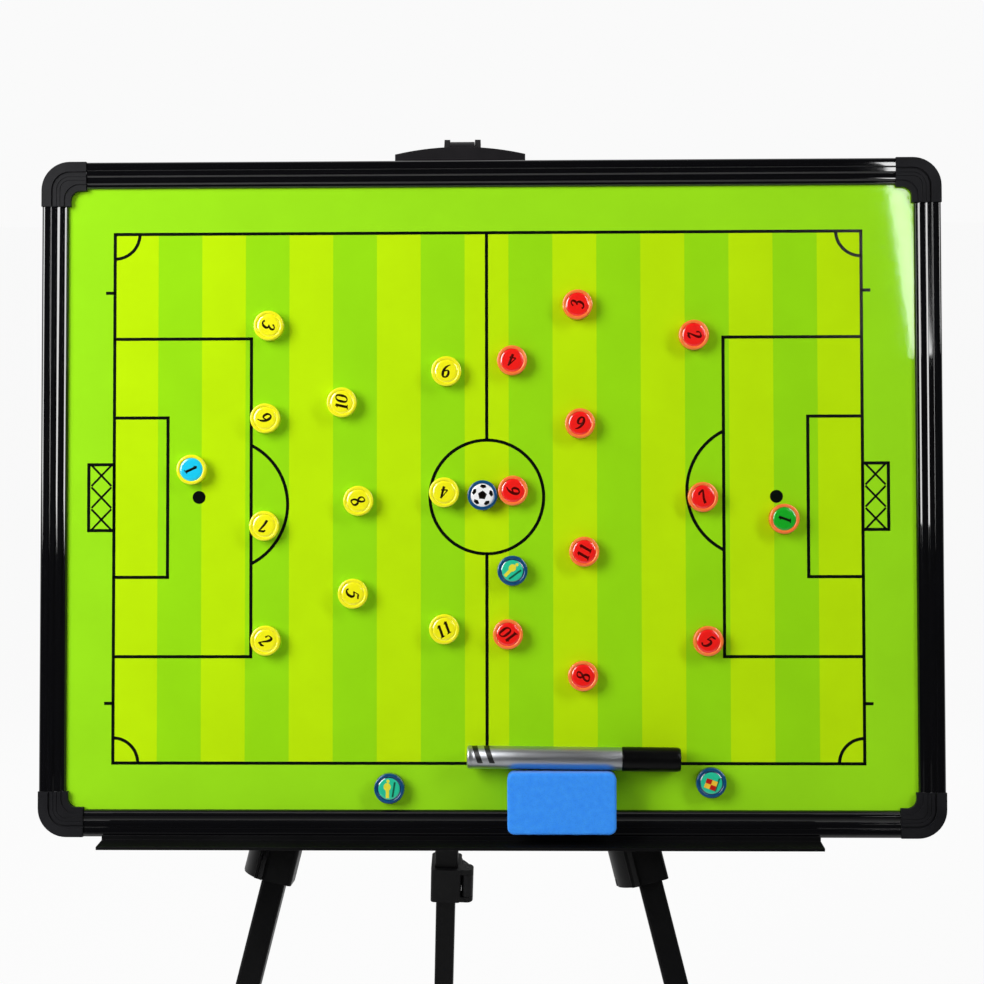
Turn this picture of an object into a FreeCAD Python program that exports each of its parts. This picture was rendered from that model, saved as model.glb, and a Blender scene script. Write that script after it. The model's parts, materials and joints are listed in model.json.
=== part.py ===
import FreeCAD, Part

import math
import os
from types import SimpleNamespace

import Sketcher
from FreeCAD import Placement, Rotation, Vector

# Football tactics board on a folding tripod easel.
# The board faces -Y and leans back, +Z is up and the feet stand on z = 0.
# The origin lies on the floor, under the middle of the whole object.

# Driving sizes: millimetres, and degrees for the four leg and board angles.
DRIVING = {
    # Framed board
    "board_width": 600,
    "board_height": 450,
    "rail_depth": 14,
    "rail_face": 18,
    "rail_wall": 1.6,
    "rail_edge": 2.5,
    "front_lip": 3,
    "panel_bite": 9.7,
    "panel_play": 0.3,
    "face_thickness": 0.6,
    "core_thickness": 7,
    "back_thickness": 0.6,
    "rail_line_at": 6.2,
    "rail_line": 0.8,
    "rail_line_depth": 0.4,
    "rail_band": 9.4,
    "rail_land": 2.8,
    "rail_groove": 2.2,
    "rail_groove_depth": 0.8,
    "rail_step": 0.4,
    "rail_bevel": 0.9,
    # Corner caps
    "cap_reach": 30,
    "cap_radius": 19,
    "cap_proud": 0.8,
    "cap_lap": 1.6,
    "cap_inner_radius": 6,
    "cap_band": 6.6,
    "cap_groove": 1.4,
    "cap_groove_depth": 0.9,
    "cap_line": 0.4,
    "cap_line_depth": 0.3,
    "cap_line_outer": 10,
    "cap_line_inner": 12.4,
    "cap_step": 0.6,
    "cap_step_width": 4.4,
    "tongue_length": 14,
    "tongue_play": 0.15,
    # Round magnets
    "magnet_diameter": 20,
    "magnet_height": 6.4,
    "magnet_edge": 0.8,
    "magnet_window": 15.6,
    "magnet_dome": 0.6,
    "slug_diameter": 12,
    "slug_thickness": 3,
    # Marker pen
    "pen_radius": 7.5,
    "pen_barrel": 101.5,
    "pen_end_round": 2,
    "pen_neck_radius": 6.4,
    "pen_neck": 24,
    "pen_cap_radius": 8,
    "pen_cap_length": 38.5,
    "pen_cap_wall": 1.3,
    "pen_cap_taper": 0.6,
    "nib_radius": 2.5,
    "nib_length": 8,
    "pen_left": -15,
    "pen_tilt": 0.7,
    # Eraser
    "eraser_width": 71,
    "eraser_height": 40.2,
    "eraser_depth": 17,
    "eraser_corner": 4.7,
    "eraser_edge": 1.2,
    "eraser_x": 47,
    "eraser_rise": 24.7,
    "felt_margin": 3,
    "rest_gap": 0.3,
    # Stance of the easel
    "lean": 12,
    "splay": 14.1,
    "rear_angle": 24,
    "rear_sway": 2.2,
    "board_offset": 20,
    "leg_setback": 21.2,
    "pivot_spread": 28,
    "pivot_drop": 33,
    "collar_below_ledge": 35,
    "front_reach": 412,
    "rear_upper": 620,
    "tube_overlap": 50,
    # Square leg tubes
    "upper_tube": 19,
    "lower_tube": 16,
    "tube_wall": 1,
    "tube_corner": 2,
    "tube_top": 11,
    "pin_radius": 3,
    "pin_play": 0.08,
    "rivet_radius": 4,
    "rivet_height": 1.6,
    # Flip-lock collars
    "collar_width": 25,
    "collar_depth": 26,
    "collar_height": 31.8,
    "collar_grip": 20,
    "collar_corner": 3,
    "collar_play": 0.3,
    "collar_slit": 1.5,
    "ear_height": 5,
    "knuckle_radius": 4.9,
    "knuckle_back": 7,
    "trunnion_radius": 1.9,
    "lever_play": 0.4,
    "lever_lap": 5.2,
    "lever_lip": 1.8,
    "lever_bow": 26,
    # Rubber feet
    "foot_width": 22,
    "foot_height": 26,
    "foot_corner": 4,
    "foot_sole": 7,
    # Easel head
    "head_width": 88,
    "head_shoulder": 40,
    "head_crown": 45,
    "head_skirt": 30,
    "head_cheek": 5,
    "head_corner": 8,
    "head_rim": 4,
    "head_relief": 5,
    "slot_play": 0.4,
    "slot_roof": 3,
    "rear_pivot_back": 25.5,
    "rear_pivot_up": 49.6,
    "lug_radius": 11,
    "lug_thickness": 4,
    "tongue_width": 16.8,
    "tongue_side_play": 0.3,
    "tongue_round": 9.2,
    "tongue_neck": 14,
    "plug_depth": 25,
    # Ledge and its brackets
    "ledge_length": 474,
    "ledge_wall": 2,
    "ledge_seat": 3,
    "ledge_web": 14,
    "ledge_channel": 3,
    "ledge_hook": 10,
    "ledge_stop": 1.5,
    "apron_depth": 16,
    "apron_drop": 1.8,
    "apron_lip": 3.6,
    "hanger_tongue": 2,
    "hanger_width": 20,
    "hanger_wall": 2.2,
    "hanger_height": 16,
}

# Magnet places on the field: across and up from the centre of a board this high.
PLACED_HEIGHT = 450
YELLOW_TEAM = {
    "2": (-148.7, -95.1),
    "3": (-147, 114.2),
    "4": (-30.2, 2.9),
    "5": (-90.7, -64.1),
    "6": (-149.2, 52.4),
    "7": (-149.7, -19.1),
    "8": (-87.2, -2.6),
    "9": (-28.7, 83.4),
    "10": (-98.2, 62.9),
    "11": (-30.2, -87.6),
    "keeper": (-198.2, 18.4),
}
RED_TEAM = {
    "2": (135.5, 107),
    "3": (58.5, 127.5),
    "4": (15, 90.5),
    "5": (144, -95.5),
    "6": (15.5, 4),
    "7": (141, -0.5),
    "8": (61.5, -118.5),
    "9": (60, 48.5),
    "10": (12, -91),
    "11": (62.5, -36.5),
    "keeper": (194.5, -15),
}
OTHER_MAGNETS = {
    "ball": (-4.8, 1),
    "referee": (15, -49),
}
# These two lie in the margin below the field: across from the centre, up from the lower edge.
MARGIN_MAGNETS = {
    "assistant": (-66.5, 32.5),
    "flag": (145.5, 36.5),
}

doc = FreeCAD.newDocument("TacticsBoard")
sheet = doc.addObject("Spreadsheet::Sheet", "Sizes")
for row, (size_name, number) in enumerate(DRIVING.items(), start=1):
    sheet.set(f"A{row}", size_name)
    sheet.set(f"B{row}", str(number))
    sheet.setAlias(f"B{row}", size_name)
doc.recompute()


class Size:
    """A size as a number, with the sheet formula that drives it."""

    def __init__(self, value, formula):
        self.value = float(value)
        self.formula = formula

    def __float__(self):
        return self.value

    def __add__(self, other):
        other = as_size(other)
        return Size(self.value + other.value, f"({self.formula} + {other.formula})")

    def __radd__(self, other):
        return as_size(other) + self

    def __sub__(self, other):
        other = as_size(other)
        return Size(self.value - other.value, f"({self.formula} - {other.formula})")

    def __rsub__(self, other):
        return as_size(other) - self

    def __mul__(self, factor):
        factor = as_size(factor)
        return Size(self.value * factor.value, f"({self.formula} * {factor.formula})")

    __rmul__ = __mul__

    def __truediv__(self, divisor):
        return Size(self.value / divisor, f"({self.formula} / {divisor})")

    def __neg__(self):
        return Size(-self.value, f"(-{self.formula})")


def as_size(number):
    return number if isinstance(number, Size) else Size(number, f"({float(number)})")


S = SimpleNamespace(**{name: Size(number, f"Sizes.{name}") for name, number in DRIVING.items()})
nodes = {}


def keep(node, shape_object, place):
    """Give a finished sub-part its node name and its place."""
    shape_object.Label = node
    shape_object.Placement = place
    nodes[node] = shape_object


def moved(x=0, y=0, z=0):
    return Placement(Vector(float(x), float(y), float(z)), Rotation())


def turned(axis, angle):
    return Placement(Vector(), Rotation(axis, float(angle)))


ACROSS = Vector(1, 0, 0)
DEPTH = Vector(0, 1, 0)
UP = Vector(0, 0, 1)


def bound(target, path, size):
    """Bind one property of a document object to its sheet formula."""
    target.setExpression(path, as_size(size).formula)


def origin_plane(body, role):
    return next(item for item in body.Origin.OriginFeatures if item.Role == role)


def arc_between(start, end, radius):
    """Short arc from start to end; a positive radius turns left, a negative one right."""
    chord = end - start
    rise = math.sqrt(max(radius * radius - chord.Length ** 2 / 4, 0))
    left = Vector(-chord.y, chord.x, 0).normalize()
    centre = (start + end) * 0.5 + left * math.copysign(rise, radius)
    first, last = (start, end) if radius > 0 else (end, start)
    circle = Part.Circle(centre, UP, abs(radius))
    angles = [math.atan2(point.y - centre.y, point.x - centre.x) for point in (first, last)]
    return Part.ArcOfCircle(circle, angles[0], angles[1])


def add_loop(sketch, points):
    """Closed, fully dimensioned loop; a third number starts an arc of that radius."""
    first = sketch.GeometryCount
    count = len(points)
    corners = [Vector(float(point[0]), float(point[1]), 0) for point in points]
    start_ends = []
    for index, point in enumerate(points):
        start, end = corners[index], corners[(index + 1) % count]
        if len(point) == 2:
            sketch.addGeometry(Part.LineSegment(start, end))
            start_ends.append(1)
        else:
            radius = float(point[2])
            sketch.addGeometry(arc_between(start, end, radius))
            start_ends.append(1 if radius > 0 else 2)
    for index in range(count):
        after = (index + 1) % count
        sketch.addConstraint(Sketcher.Constraint(
            "Coincident", first + index, 3 - start_ends[index], first + after, start_ends[after]))
    for index, point in enumerate(points):
        for kind, size in zip(("DistanceX", "DistanceY"), point):
            number = sketch.addConstraint(Sketcher.Constraint(
                kind, -1, 1, first + index, start_ends[index], float(size)))
            bound(sketch, f"Constraints[{number}]", size)
        if len(point) == 3:
            radius = point[2] if float(point[2]) > 0 else -as_size(point[2])
            number = sketch.addConstraint(Sketcher.Constraint("Radius", first + index, float(radius)))
            bound(sketch, f"Constraints[{number}]", radius)


def add_circle(sketch, across, up, radius):
    index = sketch.addGeometry(Part.Circle(Vector(float(across), float(up), 0), UP, float(radius)))
    for kind, size in (("DistanceX", across), ("DistanceY", up)):
        number = sketch.addConstraint(Sketcher.Constraint(kind, -1, 1, index, 3, float(size)))
        bound(sketch, f"Constraints[{number}]", size)
    number = sketch.addConstraint(Sketcher.Constraint("Radius", index, float(radius)))
    bound(sketch, f"Constraints[{number}]", radius)


def rounded_rectangle(left, low, right, high, radius):
    return [
        (left + radius, low), (right - radius, low, radius),
        (right, low + radius), (right, high - radius, radius),
        (right - radius, high), (left + radius, high, radius),
        (left, high - radius), (left, low + radius, radius),
    ]


def rectangle(left, low, right, high):
    return [(left, low), (right, low), (right, high), (left, high)]


def new_body(name):
    return doc.addObject("PartDesign::Body", name)


def drawn(body, name, plane, loops=(), circles=(), start=0):
    """Sketch on an origin plane of the body, moved by start along the plane's normal."""
    sketch = body.newObject("Sketcher::SketchObject", name)
    sketch.AttachmentSupport = [(origin_plane(body, plane), "")]
    sketch.MapMode = "FlatFace"
    sketch.AttachmentOffset = moved(z=start)
    bound(sketch, ".AttachmentOffset.Base.z", start)
    for loop in loops:
        add_loop(sketch, loop)
    for circle in circles:
        add_circle(sketch, *circle)
    return sketch


def pad(body, sketch, length, symmetric=False):
    feature = body.newObject("PartDesign::Pad", f"{sketch.Name}Pad")
    feature.Profile = sketch
    feature.Length = float(length)
    bound(feature, "Length", length)
    feature.SideType = "Symmetric" if symmetric else "One side"
    doc.recompute()
    return feature


def pocket(body, sketch, length, symmetric=False):
    """Cut along the sketch's normal, and make sure that material is really cut away."""
    before = body.Shape.Volume
    feature = body.newObject("PartDesign::Pocket", f"{sketch.Name}Cut")
    feature.Profile = sketch
    feature.Length = float(length)
    bound(feature, "Length", length)
    feature.Reversed = True
    feature.SideType = "Symmetric" if symmetric else "One side"
    doc.recompute()
    if body.Shape.Volume >= before:
        raise RuntimeError(f"{feature.Name} cuts nothing")
    return feature


def revolve(body, sketch):
    feature = body.newObject("PartDesign::Revolution", f"{sketch.Name}Turn")
    feature.Profile = sketch
    feature.ReferenceAxis = (sketch, ["V_Axis"])
    feature.Angle = 360
    doc.recompute()
    return feature


def fillet(body, radius, wanted):
    """Round the edges of the body's last feature that the test wanted picks."""
    base = body.Tip
    names = [f"Edge{i}" for i, edge in enumerate(base.Shape.Edges, start=1) if wanted(edge)]
    feature = body.newObject("PartDesign::Fillet", f"{base.Name}Round")
    feature.Base = (base, names)
    feature.Radius = float(radius)
    bound(feature, "Radius", radius)
    doc.recompute()
    return feature


def runs_along(edge, axis):
    """True where an edge is straight and parallel to an axis."""
    if not isinstance(edge.Curve, Part.Line):
        return False
    return abs(abs(edge.Curve.Direction * axis) - 1) < 1e-6


def group(node, members, place):
    """Several separate solids as one sub-part."""
    compound = doc.addObject("Part::Compound", node)
    compound.Links = members
    doc.recompute()
    keep(node, compound, place)


# Stance: the front collars sit just below the ledge that carries the board, the front legs'
# length sets the height, and the feet set the middle of the footprint.
lean = math.radians(float(S.lean))
splay = math.radians(float(S.splay))
rear_tilt = math.radians(float(S.rear_angle) - float(S.lean))
rear_sway = math.radians(float(S.rear_sway))
front_upper = (S.board_height - S.pivot_drop) * (1 / math.cos(splay)) + S.collar_below_ledge
front_length = front_upper + S.front_reach
lower_length = S.front_reach - S.foot_sole + S.tube_overlap
head_height = float(front_length) * math.cos(splay) * math.cos(lean)
rear_pivot_height = (head_height + float(S.rear_pivot_up) * math.cos(lean)
                     - float(S.rear_pivot_back) * math.sin(lean))
rear_pivot_depth = float(S.rear_pivot_back) * math.cos(lean) + float(S.rear_pivot_up) * math.sin(lean)
rear_drop = rear_pivot_height / math.cos(rear_tilt)
rear_length = rear_drop / math.cos(rear_sway)
front_edge = -head_height * math.tan(lean) - float(S.foot_width) / 2 / math.cos(lean)
rear_edge = (rear_pivot_depth + rear_drop * math.sin(rear_tilt)
             + float(S.foot_width) / 2 / math.cos(rear_tilt))
stand = Placement(
    Vector(-float(S.board_offset), -(front_edge + rear_edge) / 2, head_height),
    Rotation(ACROSS, -float(S.lean)))

# Board frame: origin at the middle of the rails' front plane, +Y into the board.
board_place = stand * moved(
    S.board_offset, -(S.rail_depth + S.leg_setback), S.pivot_drop - S.board_height / 2)


# Printed steel face, core and back sheet, held in the rails' slot
slot_floor = S.rail_face - S.panel_bite - S.panel_play
panel_width = S.board_width - (slot_floor + S.panel_play) * 2
panel_height = S.board_height - (slot_floor + S.panel_play) * 2
slot_width = S.face_thickness + S.core_thickness + S.back_thickness + S.panel_play


def sheet_layer(node, front, thickness):
    layer = doc.addObject("Part::Box", node)
    bound(layer, "Length", panel_width)
    bound(layer, "Width", thickness)
    bound(layer, "Height", panel_height)
    keep(node, layer, board_place * moved(-panel_width / 2, front, -panel_height / 2))


sheet_layer("face_sheet", S.front_lip, S.face_thickness)
sheet_layer("core_panel", S.front_lip + S.face_thickness, S.core_thickness)
sheet_layer("back_sheet", S.front_lip + S.face_thickness + S.core_thickness, S.back_thickness)


# Grooved rails: a hollow bar along the outer edge and two lips that grip the panel
def rail_section():
    """Depth into the board and height from the outer edge, front face first."""
    groove_bottom = S.rail_groove / 2
    inner_groove = S.rail_band + S.rail_groove + S.rail_land
    return [
        (0, 0),
        (0, S.rail_line_at - S.rail_line / 2),
        (S.rail_line_depth, S.rail_line_at),
        (0, S.rail_line_at + S.rail_line / 2),
        (0, S.rail_band),
        (S.rail_groove_depth, S.rail_band + groove_bottom),
        (S.rail_step, S.rail_band + S.rail_groove),
        (S.rail_step, inner_groove),
        (S.rail_step + S.rail_groove_depth, inner_groove + groove_bottom),
        (S.rail_step * 2, inner_groove + S.rail_groove),
        (S.rail_step * 2, S.rail_face - S.rail_bevel),
        (S.front_lip - S.rail_step * 2, S.rail_face),
        (S.front_lip, S.rail_face),
        (S.front_lip, slot_floor),
        (S.front_lip + slot_width, slot_floor),
        (S.front_lip + slot_width, S.rail_face),
        (S.rail_depth, S.rail_face),
        (S.rail_depth, 0),
    ]


hollow_low = S.rail_wall
hollow_high = slot_floor - S.rail_wall
hollow_front = S.front_lip
hollow_back = S.front_lip + slot_width


def rail(name, length):
    body = new_body(name)
    hollow = rectangle(hollow_front, hollow_low, hollow_back, hollow_high)
    section = drawn(body, f"{name}Section", "YZ_Plane", [rail_section(), hollow])
    pad(body, section, length, symmetric=True)
    fillet(body, S.rail_edge, lambda edge: runs_along(edge, ACROSS) and edge.CenterOfMass.z < 1e-6)
    return body


def rail_pair(node, length, across):
    """Two equal rails on opposite sides of the board, outer edges facing out."""
    rails = []
    for side in (1, -1):
        piece = rail(f"{node}{len(rails) + 1}", length)
        spin = 0 if side > 0 else 180
        quarter = 0 if across else 90
        reach = S.board_height / 2 if across else S.board_width / 2
        piece.Placement = turned(DEPTH, spin + quarter) * moved(z=-reach)
        rails.append(piece)
    group(node, rails, board_place)


rail_pair("long_rails", S.board_width - S.cap_reach * 2, across=True)
rail_pair("short_rails", S.board_height - S.cap_reach * 2, across=False)


# Moulded corner caps: an L with a raised band, a groove, two fine lines, a step and two tongues
def cap_channel(edge, width):
    """Outline of a channel that follows the cap's round corner, edge inwards from its outside."""
    end = edge + width
    return [
        (S.cap_radius, edge), (S.cap_reach, edge), (S.cap_reach, end),
        (S.cap_radius, end, -(S.cap_radius - end)),
        (end, S.cap_radius), (end, S.cap_reach),
        (edge, S.cap_reach), (edge, S.cap_radius, S.cap_radius - edge),
    ]


def corner_cap(name):
    """Cap of the lower left corner, measured inwards from the outer corner."""
    body = new_body(name)
    face = S.rail_face + S.cap_lap
    depth = S.rail_depth + S.cap_proud * 2
    outline = [
        (S.cap_radius, 0), (S.cap_reach, 0), (S.cap_reach, face),
        (face + S.cap_inner_radius, face, -S.cap_inner_radius),
        (face, face + S.cap_inner_radius), (face, S.cap_reach),
        (0, S.cap_reach), (0, S.cap_radius, S.cap_radius),
    ]
    pad(body, drawn(body, f"{name}Outline", "XZ_Plane", [outline], start=-S.rail_depth - S.cap_proud), depth)
    slot = rectangle(slot_floor, slot_floor, S.cap_reach * 2, S.cap_reach * 2)
    pocket(body, drawn(body, f"{name}Slot", "XZ_Plane", [slot], start=-S.front_lip - slot_width), slot_width)
    groove = cap_channel(S.cap_band, S.cap_groove)
    pocket(body, drawn(body, f"{name}Groove", "XZ_Plane", [groove],
                       start=S.cap_proud - S.cap_groove_depth), S.cap_groove_depth)
    lines = [cap_channel(edge, S.cap_line) for edge in (S.cap_line_outer, S.cap_line_inner)]
    pocket(body, drawn(body, f"{name}Lines", "XZ_Plane", lines,
                       start=S.cap_proud - S.cap_line_depth), S.cap_line_depth)
    step_edge = face - S.cap_step_width
    step_round = S.cap_inner_radius + S.cap_step_width
    step = [
        (step_edge + step_round, step_edge), (S.cap_reach, step_edge), (S.cap_reach, face),
        (face + S.cap_inner_radius, face, -S.cap_inner_radius),
        (face, face + S.cap_inner_radius), (face, S.cap_reach),
        (step_edge, S.cap_reach), (step_edge, step_edge + step_round, step_round),
    ]
    pocket(body, drawn(body, f"{name}Step", "XZ_Plane", [step], start=S.cap_proud - S.cap_step), S.cap_step)
    tongue_front = hollow_front + S.tongue_play
    tongue_depth = hollow_back - hollow_front - S.tongue_play * 2
    low = hollow_low + S.tongue_play
    high = hollow_high - S.tongue_play
    tongues = [
        rectangle(S.cap_reach, low, S.cap_reach + S.tongue_length, high),
        rectangle(low, S.cap_reach, high, S.cap_reach + S.tongue_length),
    ]
    for number, tongue in enumerate(tongues, start=1):
        pad(body, drawn(body, f"{name}Tongue{number}", "XZ_Plane", [tongue],
                        start=-tongue_front - tongue_depth), tongue_depth)
    return body


def corner_caps():
    """The same cap, turned a quarter further for each corner."""
    caps = []
    for across, up, angle in ((-1, -1, 0), (-1, 1, 90), (1, 1, 180), (1, -1, 270)):
        cap = corner_cap(f"cap{len(caps) + 1}")
        corner = moved(S.board_width / 2 * across, 0, S.board_height / 2 * up)
        cap.Placement = corner * turned(DEPTH, angle)
        caps.append(cap)
    group("corner_caps", caps, board_place)


corner_caps()


# Round magnets: a moulded cup with a domed window, and a magnet slug in its underside
def magnet(node, across, up):
    radius = S.magnet_diameter / 2
    window = S.magnet_window / 2
    hole = S.slug_diameter / 2
    crown_radius = (float(window) ** 2 + float(S.magnet_dome) ** 2) / (2 * float(S.magnet_dome))
    profile = [
        (hole, 0), (radius - S.magnet_edge, 0), (radius, S.magnet_edge),
        (radius, S.magnet_height - S.magnet_edge), (radius - S.magnet_edge, S.magnet_height),
        (window, S.magnet_height), (window, S.magnet_height - S.magnet_dome, crown_radius),
        (0, S.magnet_height), (0, S.slug_thickness), (hole, S.slug_thickness),
    ]
    cup = new_body(f"{node}_cup")
    revolve(cup, drawn(cup, f"{node}_profile", "XZ_Plane", [profile]))
    slug = doc.addObject("Part::Cylinder", f"{node}_slug")
    bound(slug, "Radius", hole)
    bound(slug, "Height", S.slug_thickness)
    seat = board_place * moved(across, S.front_lip, up) * turned(ACROSS, 90)
    group(node, [cup, slug], seat)


for prefix, places in (("magnet_yellow", YELLOW_TEAM), ("magnet_red", RED_TEAM), ("magnet", OTHER_MAGNETS)):
    for mark, (across, up) in places.items():
        magnet(f"{prefix}_{mark}", across, S.board_height * (up / PLACED_HEIGHT))
for mark, (across, rise) in MARGIN_MAGNETS.items():
    magnet(f"magnet_{mark}", across, rise - S.board_height / 2)


# Foam eraser on a felt wiping pad; the foam laps over the bottom rail, the felt stops above it
eraser_back = -S.rest_gap
eraser_middle = S.eraser_rise - S.board_height / 2
eraser_top = eraser_middle + S.eraser_height / 2


def eraser():
    foam = new_body("foam")
    block = rounded_rectangle(-S.eraser_width / 2, -S.eraser_height / 2,
                              S.eraser_width / 2, S.eraser_height / 2, S.eraser_corner)
    pad(foam, drawn(foam, "foamOutline", "XZ_Plane", [block]), S.eraser_depth)
    fillet(foam, S.eraser_edge, lambda edge: edge.CenterOfMass.y < -float(S.eraser_depth) + 1e-6)
    keep("eraser_foam", foam, board_place * moved(S.eraser_x, eraser_back, eraser_middle))
    felt_low = S.rail_face + S.rest_gap - S.board_height / 2
    felt = doc.addObject("Part::Box", "felt")
    bound(felt, "Length", S.eraser_width - S.felt_margin * 2)
    bound(felt, "Width", S.front_lip - eraser_back)
    bound(felt, "Height", eraser_top - S.felt_margin - felt_low)
    keep("eraser_felt", felt,
         board_place * moved(S.eraser_x - S.eraser_width / 2 + S.felt_margin, eraser_back, felt_low))


eraser()

# Marker pen: lies on the eraser's top edge and against the board
pen_drop = math.tan(math.radians(float(S.pen_tilt)))
pen_run = S.eraser_x + S.eraser_width / 2 - S.pen_left
pen_axis = board_place * moved(
    S.pen_left, S.front_lip - S.pen_cap_radius - S.rest_gap,
    eraser_top + S.pen_radius + S.rest_gap + pen_run * pen_drop) * turned(DEPTH, 90 + float(S.pen_tilt))


def marker_pen():
    """Barrel with its neck, nib and cap, all turned about the pen's length."""
    barrel = new_body("barrel")
    shoulder = S.pen_barrel
    neck_end = shoulder + S.pen_neck
    barrel_profile = [
        (0, 0), (S.pen_radius - S.pen_end_round, 0, S.pen_end_round),
        (S.pen_radius, S.pen_end_round), (S.pen_radius, shoulder),
        (S.pen_neck_radius, shoulder), (S.pen_neck_radius, neck_end - S.pen_neck_radius),
        (S.nib_radius, neck_end), (0, neck_end),
    ]
    revolve(barrel, drawn(barrel, "barrelProfile", "XZ_Plane", [barrel_profile]))
    keep("pen_barrel", barrel, pen_axis)
    nib = new_body("nib")
    nib_profile = [
        (0, neck_end), (S.nib_radius, neck_end),
        (S.nib_radius, neck_end + S.nib_length - S.nib_radius, S.nib_radius),
        (0, neck_end + S.nib_length),
    ]
    revolve(nib, drawn(nib, "nibProfile", "XZ_Plane", [nib_profile]))
    keep("pen_nib", nib, pen_axis)
    cap = new_body("cap")
    bore = S.pen_cap_radius - S.pen_cap_wall
    end = shoulder + S.pen_cap_length
    cap_profile = [
        (bore, shoulder), (S.pen_cap_radius, shoulder),
        (S.pen_cap_radius, end - S.pen_end_round),
        (S.pen_cap_radius - S.pen_cap_taper, end), (0, end),
        (0, end - S.pen_cap_wall), (bore, end - S.pen_cap_wall),
    ]
    revolve(cap, drawn(cap, "capProfile", "XZ_Plane", [cap_profile]))
    keep("pen_cap", cap, pen_axis)


marker_pen()


# Easel head: a moulded yoke over the two front legs, with two lugs for the rear leg
slot_half = S.upper_tube / 2 + S.slot_play
head_front = S.leg_setback - S.rest_gap
rear_face = slot_half + S.head_cheek
lug_inside = S.tongue_width / 2 + S.tongue_side_play


def easel_head():
    body = new_body("yoke")
    half = S.head_width / 2
    rise = float(S.head_crown) - float(S.head_shoulder)
    crown_radius = (float(half) ** 2 + rise ** 2) / (2 * rise)
    outline = [
        (S.head_corner - half, -S.head_skirt), (half - S.head_corner, -S.head_skirt, S.head_corner),
        (half, S.head_corner - S.head_skirt), (half, S.head_shoulder, crown_radius),
        (0, S.head_crown, crown_radius), (-half, S.head_shoulder),
        (-half, S.head_corner - S.head_skirt, S.head_corner),
    ]
    pad(body, drawn(body, "headOutline", "XZ_Plane", [outline], start=-rear_face), rear_face + head_front)
    slope = math.tan(splay)
    roof = S.tube_top + S.slot_roof
    wall = S.pivot_spread / 2 + slot_half * (1 / math.cos(splay))
    leg_slot = [
        (-(wall + S.head_skirt * slope), -S.head_skirt), (wall + S.head_skirt * slope, -S.head_skirt),
        (wall, 0), (wall, roof), (-wall, roof), (-wall, 0),
    ]
    pocket(body, drawn(body, "legSlot", "XZ_Plane", [leg_slot]), slot_half * 2, symmetric=True)
    relief = rounded_rectangle(S.head_rim - half, S.head_rim - S.head_skirt,
                               half - S.head_rim, S.head_shoulder - S.head_rim, S.head_rim)
    pocket(body, drawn(body, "frontRelief", "XZ_Plane", [relief], start=head_front - S.head_relief),
           S.head_relief)
    pins = [(side * S.pivot_spread / 2, 0, S.pin_radius) for side in (-1, 1)]
    pocket(body, drawn(body, "pinHoles", "XZ_Plane", circles=pins), S.head_width, symmetric=True)
    lug = [
        (slot_half, S.rear_pivot_up - S.lug_radius),
        (S.rear_pivot_back, S.rear_pivot_up - S.lug_radius, S.lug_radius),
        (S.rear_pivot_back + S.lug_radius, S.rear_pivot_up, S.lug_radius),
        (S.rear_pivot_back, S.rear_pivot_up + S.lug_radius),
        (slot_half + S.head_cheek / 2, S.head_crown),
        (slot_half + S.head_cheek / 2, S.head_shoulder),
        (slot_half, S.head_shoulder),
    ]
    for number, start in enumerate((lug_inside, -lug_inside - S.lug_thickness), start=1):
        pad(body, drawn(body, f"lug{number}", "YZ_Plane", [lug], start=start), S.lug_thickness)
    rear_pin = [(S.rear_pivot_back, S.rear_pivot_up, S.pin_radius)]
    pocket(body, drawn(body, "rearPinHole", "YZ_Plane", circles=rear_pin), S.head_width, symmetric=True)
    keep("easel_head", body, stand)


easel_head()


def rivet(name, shank, two_heads):
    """Plain rivet along +Z: shank from 0, with a low round head at one or both ends."""
    body = new_body(name)
    profile = [(0, 0), (S.pin_radius, 0), (S.pin_radius, shank), (S.rivet_radius, shank),
               (S.rivet_radius, shank + S.rivet_height / 2),
               (S.rivet_radius - S.rivet_height / 2, shank + S.rivet_height), (0, shank + S.rivet_height)]
    if two_heads:
        profile[0:2] = [(0, -S.rivet_height), (S.rivet_radius - S.rivet_height / 2, -S.rivet_height),
                        (S.rivet_radius, -S.rivet_height / 2), (S.rivet_radius, 0), (S.pin_radius, 0)]
    revolve(body, drawn(body, f"{name}Profile", "XZ_Plane", [profile]))
    return body


def pivot_pins():
    """Two pins through yoke and front legs, headed behind, and one through the rear lugs."""
    fronts = []
    pin_front = head_front - S.head_relief
    for side in (-1, 1):
        pin = rivet(f"frontPin{len(fronts) + 1}", pin_front + rear_face, two_heads=False)
        pin.Placement = moved(side * S.pivot_spread / 2, -pin_front, 0) * turned(ACROSS, -90)
        fronts.append(pin)
    group("front_pivot_pins", fronts, stand)
    outside = lug_inside + S.lug_thickness
    rear = rivet("rearPin", outside * 2, two_heads=True)
    keep("rear_pivot_pin", rear,
         stand * moved(-outside, S.rear_pivot_back, S.rear_pivot_up) * turned(DEPTH, 90))


pivot_pins()


# Legs, each along -Z of its own frame, with the pivot at its origin and its outer face to -Y
def upper_tube(node, place, top, length, pinned):
    body = new_body(f"{node}Body")
    half = S.upper_tube / 2
    inner = half - S.tube_wall
    loops = [rounded_rectangle(-half, -half, half, half, S.tube_corner),
             rounded_rectangle(-inner, -inner, inner, inner, S.tube_corner - S.tube_wall)]
    bottom = length - S.collar_height + S.collar_grip
    pad(body, drawn(body, f"{node}Section", "XY_Plane", loops, start=-bottom), bottom + top)
    if pinned:
        hole = [(0, 0, S.pin_radius + S.pin_play)]
        pocket(body, drawn(body, f"{node}PinHole", "XZ_Plane", circles=hole),
               S.upper_tube * 2, symmetric=True)
    keep(node, body, place)


lower_bore = S.lower_tube / 2 + S.collar_play
ear_pin_x = -(S.collar_width / 2 + S.lever_play + S.knuckle_radius)


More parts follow.
